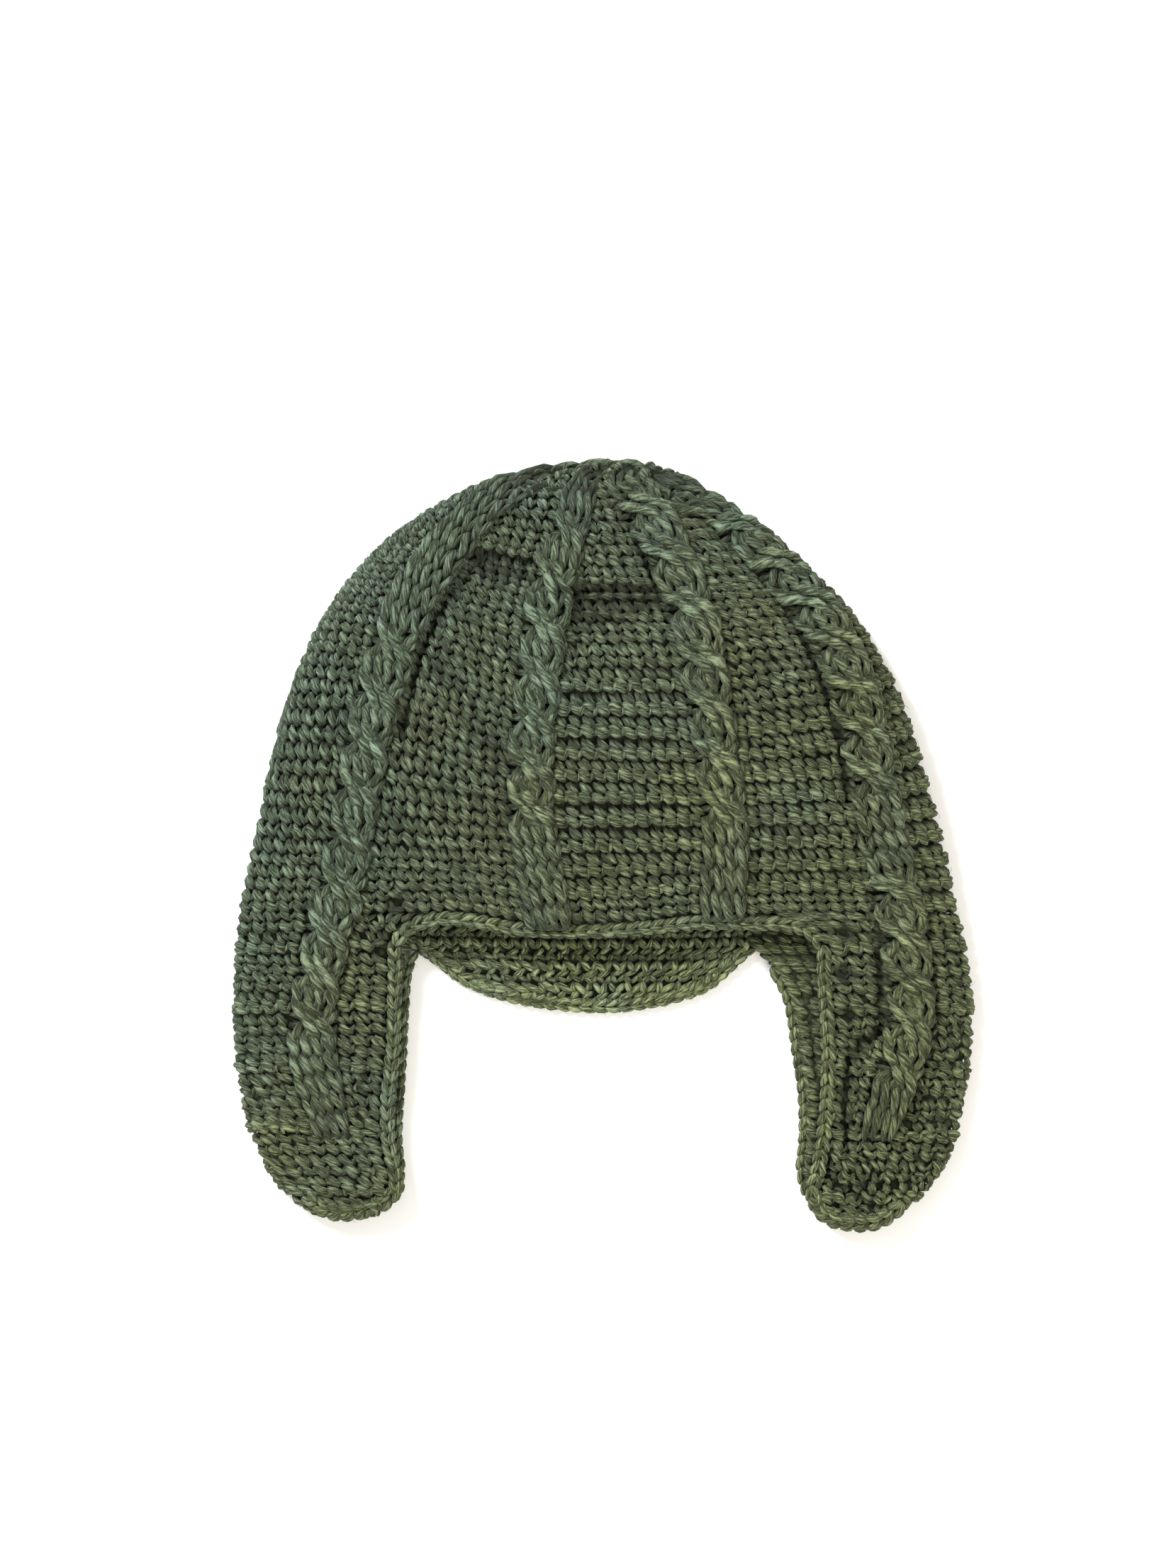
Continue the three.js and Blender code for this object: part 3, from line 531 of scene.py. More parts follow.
def makeYarnMaterial(name, brightness=1.0, cooler=0.0):
    material, tree = newMaterial(name)
    around, along, tone, height = [addNode(tree, "ShaderNodeAttribute", attribute_name=key)
                                   for key in ("around", "along", "tone", "height")]
    place = addNode(tree, "ShaderNodeTexCoord")
    angle = addNode(tree, "ShaderNodeMath", {0: along.outputs["Fac"], 1: blend["twist"]},
                    operation="MULTIPLY")
    turned = addNode(tree, "ShaderNodeVectorRotate",
                     {"Vector": around.outputs["Vector"], "Axis": (0, 0, 1), "Angle": angle.outputs[0]},
                     rotation_type="AXIS_ANGLE")
    grainScale = yarn["radius"] / blend["filament"]
    shaft = addNode(tree, "ShaderNodeMath", {0: along.outputs["Fac"], 1: 1 / blend["filamentLength"]},
                    operation="MULTIPLY")
    apart = addNode(tree, "ShaderNodeMath", {0: tone.outputs["Fac"], 1: 83.0, 2: shaft.outputs[0]},
                    operation="MULTIPLY_ADD")
    wide = addNode(tree, "ShaderNodeVectorMath", {0: turned.outputs[0], "Scale": grainScale},
                   operation="SCALE")
    parts = addNode(tree, "ShaderNodeSeparateXYZ", {0: wide.outputs[0]})
    grainPlace = addNode(tree, "ShaderNodeCombineXYZ",
                         {0: parts.outputs[0], 1: parts.outputs[1], 2: apart.outputs[0]})
    grain = addNode(tree, "ShaderNodeTexNoise",
                    {"Vector": grainPlace.outputs[0], "Scale": 1.0, "Detail": 3.0, "Roughness": 0.6})
    base = addNode(tree, "ShaderNodeValToRGB", {0: grain.outputs[0]})
    spanRamp(base.color_ramp, (0.385, blend["shade"]), (0.63, blend["light"]))
    base.color_ramp.elements.new(0.5).color = linear(blend["mid"])
    # larger random areas that lean to cool or warm; on them painted light: cooler towards the key
    # light at the upper left, warmer towards the warm fill light at the lower right
    patches = addNode(tree, "ShaderNodeTexNoise",
                      {"Vector": place.outputs["Object"], "Scale": 1000 / blend["patch"], "Detail": 3.0,
                       "Roughness": 0.6})
    across = addNode(tree, "ShaderNodeVectorMath", {0: place.outputs["Object"], 1: (-0.75, 0.6, 0.0)},
                     operation="DOT_PRODUCT")
    spread = addNode(tree, "ShaderNodeMath", {0: patches.outputs[0], 1: 0.5, 2: across.outputs["Value"]},
                     operation="MULTIPLY_ADD")
    paintedLightLean = addNode(tree, "ShaderNodeMapRange",
                   {"Value": spread.outputs[0], "From Min": 0.18 - cooler, "From Max": 0.40 - cooler})
    paintedLightTint = addNode(tree, "ShaderNodeMix", {0: paintedLightLean.outputs[0], 4: blend["warm"], 5: blend["cool"]},
                      data_type="VECTOR")
    tinted = addNode(tree, "ShaderNodeVectorMath", {0: base.outputs[0], 1: paintedLightTint.outputs[1]},
                     operation="MULTIPLY")
    # each strand a little lighter or darker
    gain = addNode(tree, "ShaderNodeMapRange",
                   {"Value": tone.outputs["Fac"], "To Min": 0.80 * brightness, "To Max": 1.06 * brightness})
    toned = addNode(tree, "ShaderNodeVectorMath", {0: tinted.outputs[0], "Scale": gain.outputs[0]},
                    operation="SCALE")
    # painted shade: darker towards the deep colour where a strand's height value is low, between
    # the other strands and where creases and holes lowered it
    depth = addNode(tree, "ShaderNodeMapRange",
                    {"Value": height.outputs["Fac"], "From Min": 0.0, "From Max": 1.8,
                     "To Min": 0.84, "To Max": 0.0})
    colour = addNode(tree, "ShaderNodeMix",
                     {0: depth.outputs[0], 6: toned.outputs[0], 7: linear(blend["deep"])},
                     data_type="RGBA")
    bump = addNode(tree, "ShaderNodeBump", {"Height": grain.outputs[0], "Strength": 1.0, "Distance": 0.0012})
    surface = addNode(tree, "ShaderNodeBsdfPrincipled",
                      {"Base Color": colour.outputs[2], "Roughness": 0.88, "IOR": 1.5,
                       "Specular IOR Level": 0.25, "Sheen Weight": 0.12, "Sheen Roughness": 0.5,
                       "Sheen Tint": linear("#b9c7bd"), "Normal": bump.outputs[0]})
    addNode(tree, "ShaderNodeOutputMaterial", {"Surface": surface.outputs[0]})
    return material


# The fabric that shows between the strands and inside the cap: the same yarn, packed, with
# painted shade that makes it darker, as in the gaps' shadow, and the stitches' backs as low relief.
def makeFabricMaterial():
    material, tree = newMaterial("wool_blend_fabric_painted_shade")
    place = addNode(tree, "ShaderNodeTexCoord")
    coarse = addNode(tree, "ShaderNodeTexVoronoi", {"Vector": place.outputs["Object"], "Scale": 1000 / 3.2})
    fine = addNode(tree, "ShaderNodeTexNoise",
                   {"Vector": place.outputs["Object"], "Scale": 1000 / 0.9, "Detail": 3.0, "Roughness": 0.7})
    mixed = addNode(tree, "ShaderNodeMath", {0: fine.outputs[0], 1: 0.5, 2: coarse.outputs["Distance"]},
                    operation="MULTIPLY_ADD")
    base = addNode(tree, "ShaderNodeValToRGB", {0: mixed.outputs[0]})
    spanRamp(base.color_ramp, (0.25, "#3a4230"), (0.95, "#151a0d"))
    bump = addNode(tree, "ShaderNodeBump", {"Height": mixed.outputs[0], "Strength": 0.8, "Distance": -0.0012})
    surface = addNode(tree, "ShaderNodeBsdfPrincipled",
                      {"Base Color": base.outputs[0], "Roughness": 0.92, "IOR": 1.5,
                       "Specular IOR Level": 0.15, "Normal": bump.outputs[0]})
    addNode(tree, "ShaderNodeOutputMaterial", {"Surface": surface.outputs[0]})
    return material


crochetYarn = makeYarnMaterial("wool_blend_yarn_crocheted")
# painted light: the cables lean further into the painted cool tint of lit yarn
cableYarn = makeYarnMaterial("wool_blend_yarn_raised_cables", 1.02, 0.05)
edgingYarn = makeYarnMaterial("wool_blend_yarn_chain_edging", 1.06)
# painted light: a lighter copy of the yarn, so that the neck flap, in the shadow of the crown's front, comes
# out as light as the rest
neckYarnPaintedLight = makeYarnMaterial("wool_blend_yarn_neck_flap_painted_light", 1.42)
fibreYarn = makeYarnMaterial("wool_blend_loose_fibres", 1.25)
fabric = makeFabricMaterial()

# Base fabric

shell = {
    "under": 3.1,            # how far its outside lies below the stitches' tops
    "turns": 132,            # points round the crown
}


# A closed skin over rings of points, with a face across its first and its last ring
def skinRings(name, rings, replaced):
    total, count = rings.shape[:2]
    points = rings.reshape(-1, 3)
    i = np.arange(count)
    faces = []
    for j in range(total - 1):
        a = j * count + i
        b = j * count + (i + 1) % count
        faces.append(np.column_stack([a, b, b + count, a + count]))
    faces = np.concatenate(faces).tolist()
    faces.append(list(range(count - 1, -1, -1)))
    faces.append([(total - 1) * count + k for k in range(count)])
    mesh = bpy.data.meshes.new(name)
    mesh.from_pydata((points * 0.001).tolist(), [], faces)
    mesh.polygons.foreach_set("use_smooth", [True] * len(mesh.polygons))
    mesh.materials.append(fabric)
    mesh.update()
    piece = addObject(name, mesh)
    work = bmesh.new()
    work.from_mesh(mesh)
    bmesh.ops.remove_doubles(work, verts=work.verts, dist=0.00002)
    bmesh.ops.recalc_face_normals(work, faces=work.faces)
    work.to_mesh(mesh)
    work.free()
    finishPiece(piece, replaced)
    print(name, countTriangles(mesh), "triangles")


def makeCrownShell():
    even = np.linspace(0, 1, shell["turns"] // 2, endpoint=False)
    front = 0.7 * even + 0.3 * np.arccos(1 - 2 * even) / np.pi
    turns = np.concatenate([front, 1 + front])
    climbs = np.concatenate([np.linspace(form["rimY"], form["domeY"], 60),
                             form["domeY"] + form["domeSpan"] * np.array([0.2, 0.4, 0.6, 0.8, 0.93])])
    grid = np.meshgrid(climbs, turns, indexing="ij")
    outer = crownSurface(grid[1], grid[0], shell["under"])
    inner = crownSurface(grid[1], grid[0], form["wall"] + 0.2)
    skinRings("fabric_crown", np.concatenate([outer[::-1], inner]), ["crown"])


def makeFlapShell(name, edges, side, node):
    bottom = edges[-1][0] + 3.0
    downs = form["rimY"] - form["seam"]
    downs = downs + (bottom - form["rimY"] + form["seam"]) * np.linspace(0, 1, 40) ** 0.9
    rings = []
    for y in downs:
        frontX, backX = smoothTable(edges, y)
        line = []
        for inset in (shell["under"], form["wall"]):
            left, right = smoothTable(sections, y)[:2]
            shares = []
            for x in (frontX, backX):
                x = x + side * (form["edgingWidth"] / 2 + form["seam"])
                shares.append((x - left - inset) / (right - left - 2 * inset))
            foldTurn = 0 if side < 0 else 1
            ends = [math.acos(1 - 2 * s) / math.pi for s in shares]
            part = np.linspace(0, 1, 16)
            front = ends[0] + (foldTurn - ends[0]) * part
            back = foldTurn + (ends[1] - foldTurn) * part[1:]
            turns = np.concatenate([front, 2 - back])
            line.append(flapSurface(turns, np.full(len(turns), y), inset))
        rings.append(np.concatenate([line[0], line[1][::-1]]))
    skinRings(name, np.array(rings), [node])


def makeNeckShell():
    xs = np.linspace(neckEdge[0][0], neckEdge[-1][0], 40)
    rings = []
    for x in xs:
        bottom = smoothTable(neckEdge, x)[0] + 0.8
        profile = [(-26.4, 2.5), (-35, 0.9), (bottom, 0.9), (bottom, 2.9), (-35, 2.9), (-26.4, 4.5)]
        rings.append([(x, y, z) for y, z in profile])
    skinRings("fabric_neck_flap", np.array(rings), ["neck_flap"])


makeCrownShell()
makeFlapShell("fabric_flap_left", leftFlapEdges, -1, "earflap_left")
makeFlapShell("fabric_flap_right", rightFlapEdges, 1, "earflap_right")
makeNeckShell()
print("base fabric done")

# Crochet stitches

stitch = {
    "width": 5.3,
    "height": 8.4,           # of two rows, which are made together
    "rowsOfCrown": 22,       # counted in twos
    "flatRidge": 0.04,       # how little the rows stand out where they aren't ridged
    "creaseShade": 0.42,     # how much painted shade a millimetre of a crease's depth adds
    "groove": 0.34,          # how wide the groove between two double rows is
    "holeReach": 2.8,        # how far round a hole the strands are pushed aside
    "holePush": 2.0,         # how far aside, and how far down
    "holeDepth": 1.6,
    "holeShade": 2.5,
    "unevenRows": 0.35,      # how much some rows stand out more than others
    "wave": 0.8,             # how far the rows wander up and down
}

# One stitch of two rows: across, up, height above the base, radius. In each row two slanting
# legs lie side by side as one leaf, with a short one across beside them.
fanStrands = [
    [(0.0, 8.7, 0.0, 0.65), (0.8, 7.7, 1.4, 1.05), (1.9, 6.4, 1.8, 1.2), (2.9, 5.2, 1.2, 1.0),
     (3.5, 4.5, 0.0, 0.6)],
    [(1.6, 8.9, -0.1, 0.6), (2.4, 7.9, 1.1, 1.0), (3.5, 6.6, 1.5, 1.1), (4.4, 5.5, 0.9, 0.95),
     (5.0, 4.8, -0.1, 0.6)],
    [(-0.9, 5.0, -0.2, 0.55), (-0.3, 6.0, 0.9, 0.85), (0.2, 7.0, 1.0, 0.9), (0.6, 7.9, 0.0, 0.6)],
    [(1.2, 4.7, 0.0, 0.65), (2.2, 4.0, 1.4, 1.05), (3.5, 3.0, 1.8, 1.2), (4.7, 2.0, 1.2, 1.0),
     (5.4, 1.4, 0.0, 0.6)],
    [(0.6, 3.2, 0.0, 0.65), (1.6, 2.5, 1.2, 1.0), (2.9, 1.5, 1.5, 1.1), (4.0, 0.6, 0.8, 0.95),
     (4.6, 0.1, -0.1, 0.6)],
    [(-0.7, 1.2, -0.2, 0.55), (-0.1, 2.2, 0.9, 0.85), (0.3, 3.2, 1.0, 0.9), (0.6, 4.2, 0.0, 0.6)],
]
# The same with the flat loops standing up in a ridge
ridgeStrands = [
    [(0.0, 8.7, 0.0, 0.65), (0.8, 7.7, 1.2, 1.05), (1.9, 6.4, 1.6, 1.15), (2.9, 5.3, 1.1, 1.0),
     (3.5, 4.7, 0.0, 0.6)],
    [(1.6, 8.9, -0.1, 0.6), (2.4, 7.9, 1.0, 1.0), (3.5, 6.6, 1.3, 1.1), (4.4, 5.6, 0.9, 0.95),
     (5.0, 5.0, -0.1, 0.6)],
    [(-0.4, 5.0, 0.1, 0.7), (0.9, 4.7, 1.8, 1.15), (2.5, 4.0, 2.3, 1.3), (3.9, 3.1, 1.3, 1.0),
     (4.6, 2.6, 0.0, 0.65)],
    [(0.0, 3.2, 0.1, 0.7), (1.3, 2.7, 1.6, 1.15), (2.9, 1.8, 2.0, 1.25), (4.4, 0.9, 0.5, 0.8)],
    [(3.9, 0.8, -0.2, 0.6), (4.8, 1.9, 1.0, 0.95), (5.4, 3.2, 1.3, 1.0), (5.8, 4.3, 0.0, 0.65)],
]
# a simpler one for the back and the inside
plainStrands = ridgeStrands[:4]


def crownRows():
    climbs = np.linspace(form["rimY"], form["domeY"] + form["domeSpan"], 400)
    rows = []
    for turn in (0.5, 1.5):
        length = lengthAlong(crownSurface(np.full_like(climbs, turn), climbs))
        rows.append(length / length[-1] * stitch["rowsOfCrown"])
    return climbs, rows[0], rows[1]


crownClimbs, frontRows, backRows = crownRows()
# how much higher a row runs at each place round the crown than in the middle
rowRise = [(0.0, 24.0), (0.12, 23.5), (0.244, 21.0), (0.44, 0.5), (0.62, 0.0), (0.824, 6.0), (1.0, 12.0),
           (1.2, 7.0), (1.4, 0.0), (1.6, 0.0), (1.8, 20.0), (2.0, 28.0)]


def crownRowClimb(row, turn):
    whole = np.mod(turn, 2)
    frontClimb = np.interp(row, frontRows, crownClimbs)
    backClimb = np.interp(row, backRows, crownClimbs)
    onBack = 0.5 - 0.5 * np.tanh(4 * np.sin(np.pi * whole))
    climb = frontClimb + (backClimb - frontClimb) * onBack
    share = (climb - form["rimY"]) / (form["domeY"] - form["rimY"])
    bump = smoothStep(share, 0, 0.45) * (1 - smoothStep(share, 0.5, 1.07))
    rise = np.interp(whole, [r[0] for r in rowRise], [r[1] for r in rowRise])
    wave = np.sin(7 * whole + 0.8 * row) * smoothStep(share, 0, 0.1) * (1 - smoothStep(share, 0.85, 1))
    return climb + rise * bump + stitch["wave"] * wave


# One double row of stitches from the field's low side to its high one
def layStitches(batch, strands, samples, field, row):
    surface, rowClimb = field["surface"], field["rowClimb"]
    low, high = field["low"], field["high"]
    width, height = field["width"], field["height"]
    guess = np.linspace(0, 1, 41)
    middle = row + 0.5
    level = rowClimb(middle, (low(field["start"]) + high(field["start"])) / 2)
    turns = low(level) + (high(level) - low(level)) * guess
    length = lengthAlong(surface(turns, rowClimb(middle, turns)))
    if length[-1] < 1.2 or turns[-1] < turns[0]:
        return
    count = max(int(round(length[-1] / width)), 1)
    squeeze = min(1.0, length[-1] / width)
    cells = np.arange(count)[:, None]
    wander = yarn["wander"] * field.get("wander", 1.0)
    ridge = field["ridge"] * (1 + random.normal(0, stitch["unevenRows"]))
    shape = np.array([strandLine(controls, samples) for controls in strands])[:, None]
    kinds = len(strands)
    swing = random.normal(0, 1, (5, kinds, count, 1))
    bend = random.normal(0, 1, (3, kinds, count, samples)) * wander * 0.7
    a = shape[..., 0] + wander * swing[0] + bend[0] + swing[3] * 0.04 * (shape[..., 1] - 4)
    b = shape[..., 1] + wander * swing[1] + bend[1]
    h = shape[..., 2] + wander * swing[2] + bend[2] * 0.6
    # a narrow groove between one double row and the next
    toGroove = np.sin(np.pi * (b - 0.1) / stitch["height"]) / stitch["groove"]
    h = h + ridge * (0.6 * np.cos(2 * np.pi * (b - 3.6) / stitch["height"]) - np.exp(-toGroove ** 2))
    radius = shape[..., 3] * (1 + 0.07 * swing[4]) * (0.45 + 0.55 * squeeze)
    u = (cells + a / stitch["width"]) / count
    inside = np.clip(u, 0, 1)
    f = np.interp(inside * length[-1], length, guess) + (u - inside)
    rho = row + b / stitch["height"]
    turn = low(level) + (high(level) - low(level)) * f
    climb = rowClimb(rho, turn)
    turn = low(climb) + (high(climb) - low(climb)) * f
    climb = rowClimb(rho, turn)
    if "top" in field:
        climb = np.minimum(climb, field["top"])
    point, normal = surfaceFrame(surface, turn, climb, field.get("stepA", turnStep))[:2]
    lift = yarn["lift"] + field.get("lift", 0.0)
    points = point + normal * (h + lift)[..., None]
    # painted shade: the height value that the material darkens by follows the strand's height, and is lowered
    # in creases and round holes
    shade = h
    if field.get("front", True):
        above = normal[..., 2] > 0
        crease = lookUp(creaseGrid, points[..., 0], points[..., 1])
        shade = shade - stitch["creaseShade"] * crease * above
        for holeX, holeY in holes:
            away = points[..., :2] - (holeX, holeY)
            far = np.linalg.norm(away, axis=-1, keepdims=True) + 0.05
            near = np.exp(-(far / stitch["holeReach"]) ** 2) * above[..., None]
            points[..., :2] += away / far * near * stitch["holePush"]
            points[..., 2:] -= near * stitch["holeDepth"]
            shade = shade - near[..., 0] * stitch["holeShade"]
    everyOne = (kinds * count, samples)
    radius = np.broadcast_to(radius, points.shape[:3]).reshape(everyOne)
    addStrands(batch, points.reshape(everyOne + (3,)), radius, shade.reshape(everyOne))


def cableTurn(column):
    back = column >= 4

    def turn(climb):
        share = smoothTable(cableRoutes, np.minimum(climb, form["domeY"]))[..., column]
        t = np.arccos(np.clip(1 - 2 * share, -1, 1)) / np.pi
        return 2 - t if back else t
    return turn


cable = {
    "width": 17.6,
    "topWidths": (14.0, 11.5, 16.0, 14.5, 13.0, 12.0, 12.0, 12.0),  # of each cable, near the top
    "tuck": 1.0,             # how far the panels go on beneath a cable
    "columns": (-6.6, -2.2, 2.2, 6.6),
    "stitch": 8.6,           # length of one raised stitch
    "crossing": 12.6,        # length in which the strands cross
    "ladder": 4.2,           # between the bars beneath
    "lift": -0.8,            # where its strands' centres start, below the fabric's outside
    "sink": 2.4,             # how far it goes down where the cap closes over its top
    "uneven": (0.2, 0.25, 0.15, 0.06),   # of a strand: across, along, in height, in thickness
    "wander": 0.12,          # of each point along it
    "samples": 6,            # points along a strand, on the front
    "sides": 7,
}


# Half the width of a cable at each height
def cableHalf(column):
    def half(climb):
        narrow = smoothStep(climb, 90, form["domeY"])
        closing = np.maximum(domeShrink(climb), 0.03)
        return (cable["width"] + (cable["topWidths"][column] - cable["width"]) * narrow) / 2 * closing
    return half


# An edge of a cable, as a place round the crown
def besideCable(column, side, shift=0.0):
    centre = cableTurn(column)
    half = cableHalf(column)

    def turn(climb):
        here = centre(climb)
        across = crownSurface(here + turnStep, climb) - crownSurface(here - turnStep, climb)
        speed = np.linalg.norm(across, axis=-1) / (2 * turnStep)
        return here + shift + side * (half(climb) - cable["tuck"]) / np.maximum(speed, 3)
    return turn


# piece, the cable on each side of it, how its rows stand out, and from which row to which
# they are ridged
crownPanels = [
    ("stitches_front_1", 0, 1, 0.0, (0, 0)),
    ("stitches_front_2", 1, 2, 0.24, (1, 11)),
    ("stitches_front_3", 2, 3, 0.2, (1, 9)),
    ("stitches_right_side", 3, 4, 0.25, (0, 10)),
    ("stitches_back_1", 4, 5, 0.4, (0, 22)),
    ("stitches_back_2", 5, 6, 0.4, (0, 22)),
    ("stitches_back_3", 6, 7, 0.4, (0, 22)),
    ("stitches_left_side", 7, 0, 0.0, (0, 0)),
]

for name, first, second, ridge, ridged in crownPanels:
    batch = newBatch()
    onBack = name.startswith("stitches_back")
    onceRound = 2.0 if second < first else 0.0
    field = {
        "surface": crownSurface, "rowClimb": crownRowClimb,
        "low": besideCable(first, 1), "high": besideCable(second, -1, onceRound),
        "width": stitch["width"], "height": stitch["height"],
        "top": form["domeY"] + form["domeSpan"] - 0.6,
    }
    for row in range(stitch["rowsOfCrown"]):
        field["start"] = float(np.interp(row + 0.5, frontRows, crownClimbs))
        isRidged = ridged[0] <= row < ridged[1]
        field["ridge"] = ridge if isRidged else stitch["flatRidge"]
        strands = plainStrands if onBack else (ridgeStrands if isRidged else fanStrands)
        layStitches(batch, strands, yarn["backSamples"] if onBack else yarn["samples"], field, row)
    makeYarn(name, batch, crochetYarn, yarn["backSides"] if onBack else yarn["sides"])
print("crown stitches done")

# Cables

# One raised stitch: across, share of its length, height, radius
straightStrands = [
    [(-2.0, 0.64, 0.2, 0.95), (-1.5, 0.40, 2.3, 1.5), (-0.6, 0.04, 3.4, 1.7), (0.3, -0.32, 2.4, 1.45),
     (0.8, -0.62, 0.2, 0.85)],
    [(1.7, 0.62, 0.0, 0.8), (1.7, 0.36, 1.9, 1.2), (1.4, 0.06, 2.3, 1.35), (0.9, -0.26, 1.2, 1.1),
     (0.5, -0.52, -0.1, 0.7)],
]
overStrands = [
    [(-5.5, 0.70, 0.2, 1.1), (-4.8, 0.50, 2.7, 1.75), (-3.0, 0.28, 3.8, 2.05), (-0.9, 0.07, 3.1, 1.65),
     (0.1, -0.06, 1.2, 0.9)],
    [(-3.7, 0.74, -0.2, 0.9), (-2.9, 0.54, 1.5, 1.2), (-1.2, 0.32, 2.3, 1.35), (0.7, 0.11, 1.8, 1.15),
     (1.5, 0.00, 0.3, 0.8)],
    [(-1.5, 0.17, 1.4, 0.9), (-0.5, 0.02, 3.3, 1.65), (1.6, -0.22, 3.9, 2.05), (3.9, -0.48, 2.7, 1.75),
     (4.9, -0.70, 0.3, 1.1)],
    [(0.5, 0.21, 0.5, 0.8), (1.5, 0.06, 2.0, 1.2), (3.4, -0.14, 2.4, 1.35), (4.9, -0.36, 1.5, 1.15),
     (5.4, -0.56, -0.2, 0.8)],
]
underStrands = [
    [(4.6, 0.66, 0.4, 1.0), (4.2, 0.48, 2.6, 1.6), (2.9, 0.24, 2.2, 1.7), (1.2, 0.02, 0.6, 1.4)],
    [(5.6, 0.40, 0.2, 0.9), (5.0, 0.20, 2.2, 1.45), (3.6, 0.00, 1.6, 1.5), (1.8, -0.16, 0.2, 1.2)],
    [(-1.2, -0.10, 0.6, 1.3), (-2.4, -0.26, 2.0, 1.6), (-3.9, -0.46, 2.4, 1.6), (-4.9, -0.66, 0.3, 1.0)],
    [(-0.2, -0.30, 0.2, 1.1), (-1.4, -0.42, 1.7, 1.4), (-2.6, -0.58, 1.9, 1.4), (-3.4, -0.72, 0.2, 0.9)],
]
ladderStrand = [(-1.06, 0.5, -0.7, 1.0), (-0.6, 0.3, 0.3, 1.6), (0.0, 0.0, 0.5, 1.75), (0.6, -0.3, 0.3, 1.6),
                (1.06, -0.5, -0.7, 1.0)]

# piece, its route, where it starts and ends, and the heights where its strands cross
cableSpecs = [
    ("cable_front_1", 0, -27.0, 140.0, (-14.5, 3.5, 21.5, 39.5, 57.5, 75.6)),
    ("cable_front_2", 1, -27.5, 140.0, (14.0, 30.5, 47.5, 65.0, 82.5, 100.5, 118.0)),
    ("cable_front_3", 2, -27.0, 140.0, (15.3, 34.4, 53.0, 71.0, 91.0, 110.8, 128.0)),
    ("cable_front_4", 3, -27.0, 140.0, (-16.0, 26.0, 43.6, 61.0, 77.6, 93.0, 107.0, 121.0)),
    ("cable_back_1", 4, -27.0, 141.0, range(0, 127, 18)),
    ("cable_back_2", 5, -27.0, 143.0, range(0, 109, 18)),
    ("cable_back_3", 6, -27.0, 143.0, range(0, 109, 18)),
    ("cable_back_4", 7, -27.0, 143.0, range(0, 109, 18)),
]


# A cable's course: its place round, its height, its length so far, and how its place and
# its height change with a millimetre across it
def cableGuide(surface, turnOf, low, high):
    climbs = np.linspace(low - 6, high + 4, 260)
    turns = turnOf(climbs)
    point, normal, alongA, alongB = surfaceFrame(surface, turns, climbs)
    tangent = unit(np.gradient(point, axis=0))
    across = unit(np.cross(tangent, normal))
    across *= np.sign((across * alongA).sum(-1, keepdims=True))
    aa = (alongA * alongA).sum(-1)
    ab = (alongA * alongB).sum(-1)
    bb = (alongB * alongB).sum(-1)
    ra = (alongA * across).sum(-1)
    rb = (alongB * across).sum(-1)
    det = np.maximum(aa * bb - ab * ab, 1e-6)
    return {"surface": surface, "climb": climbs, "turn": turns, "length": lengthAlong(point),
            "turnAcross": (ra * bb - rb * ab) / det, "climbAcross": (rb * aa - ra * ab) / det}


def onGuide(guide, across, length, height):
    climb, turn, climbAcross, turnAcross = [np.interp(length, guide["length"], guide[key])
                                            for key in ("climb", "turn", "climbAcross", "turnAcross")]
    turn = turn + across * turnAcross
    climb = climb + across * climbAcross
    point, normal = surfaceFrame(guide["surface"], turn, climb)[:2]
    return point + normal * height[..., None]


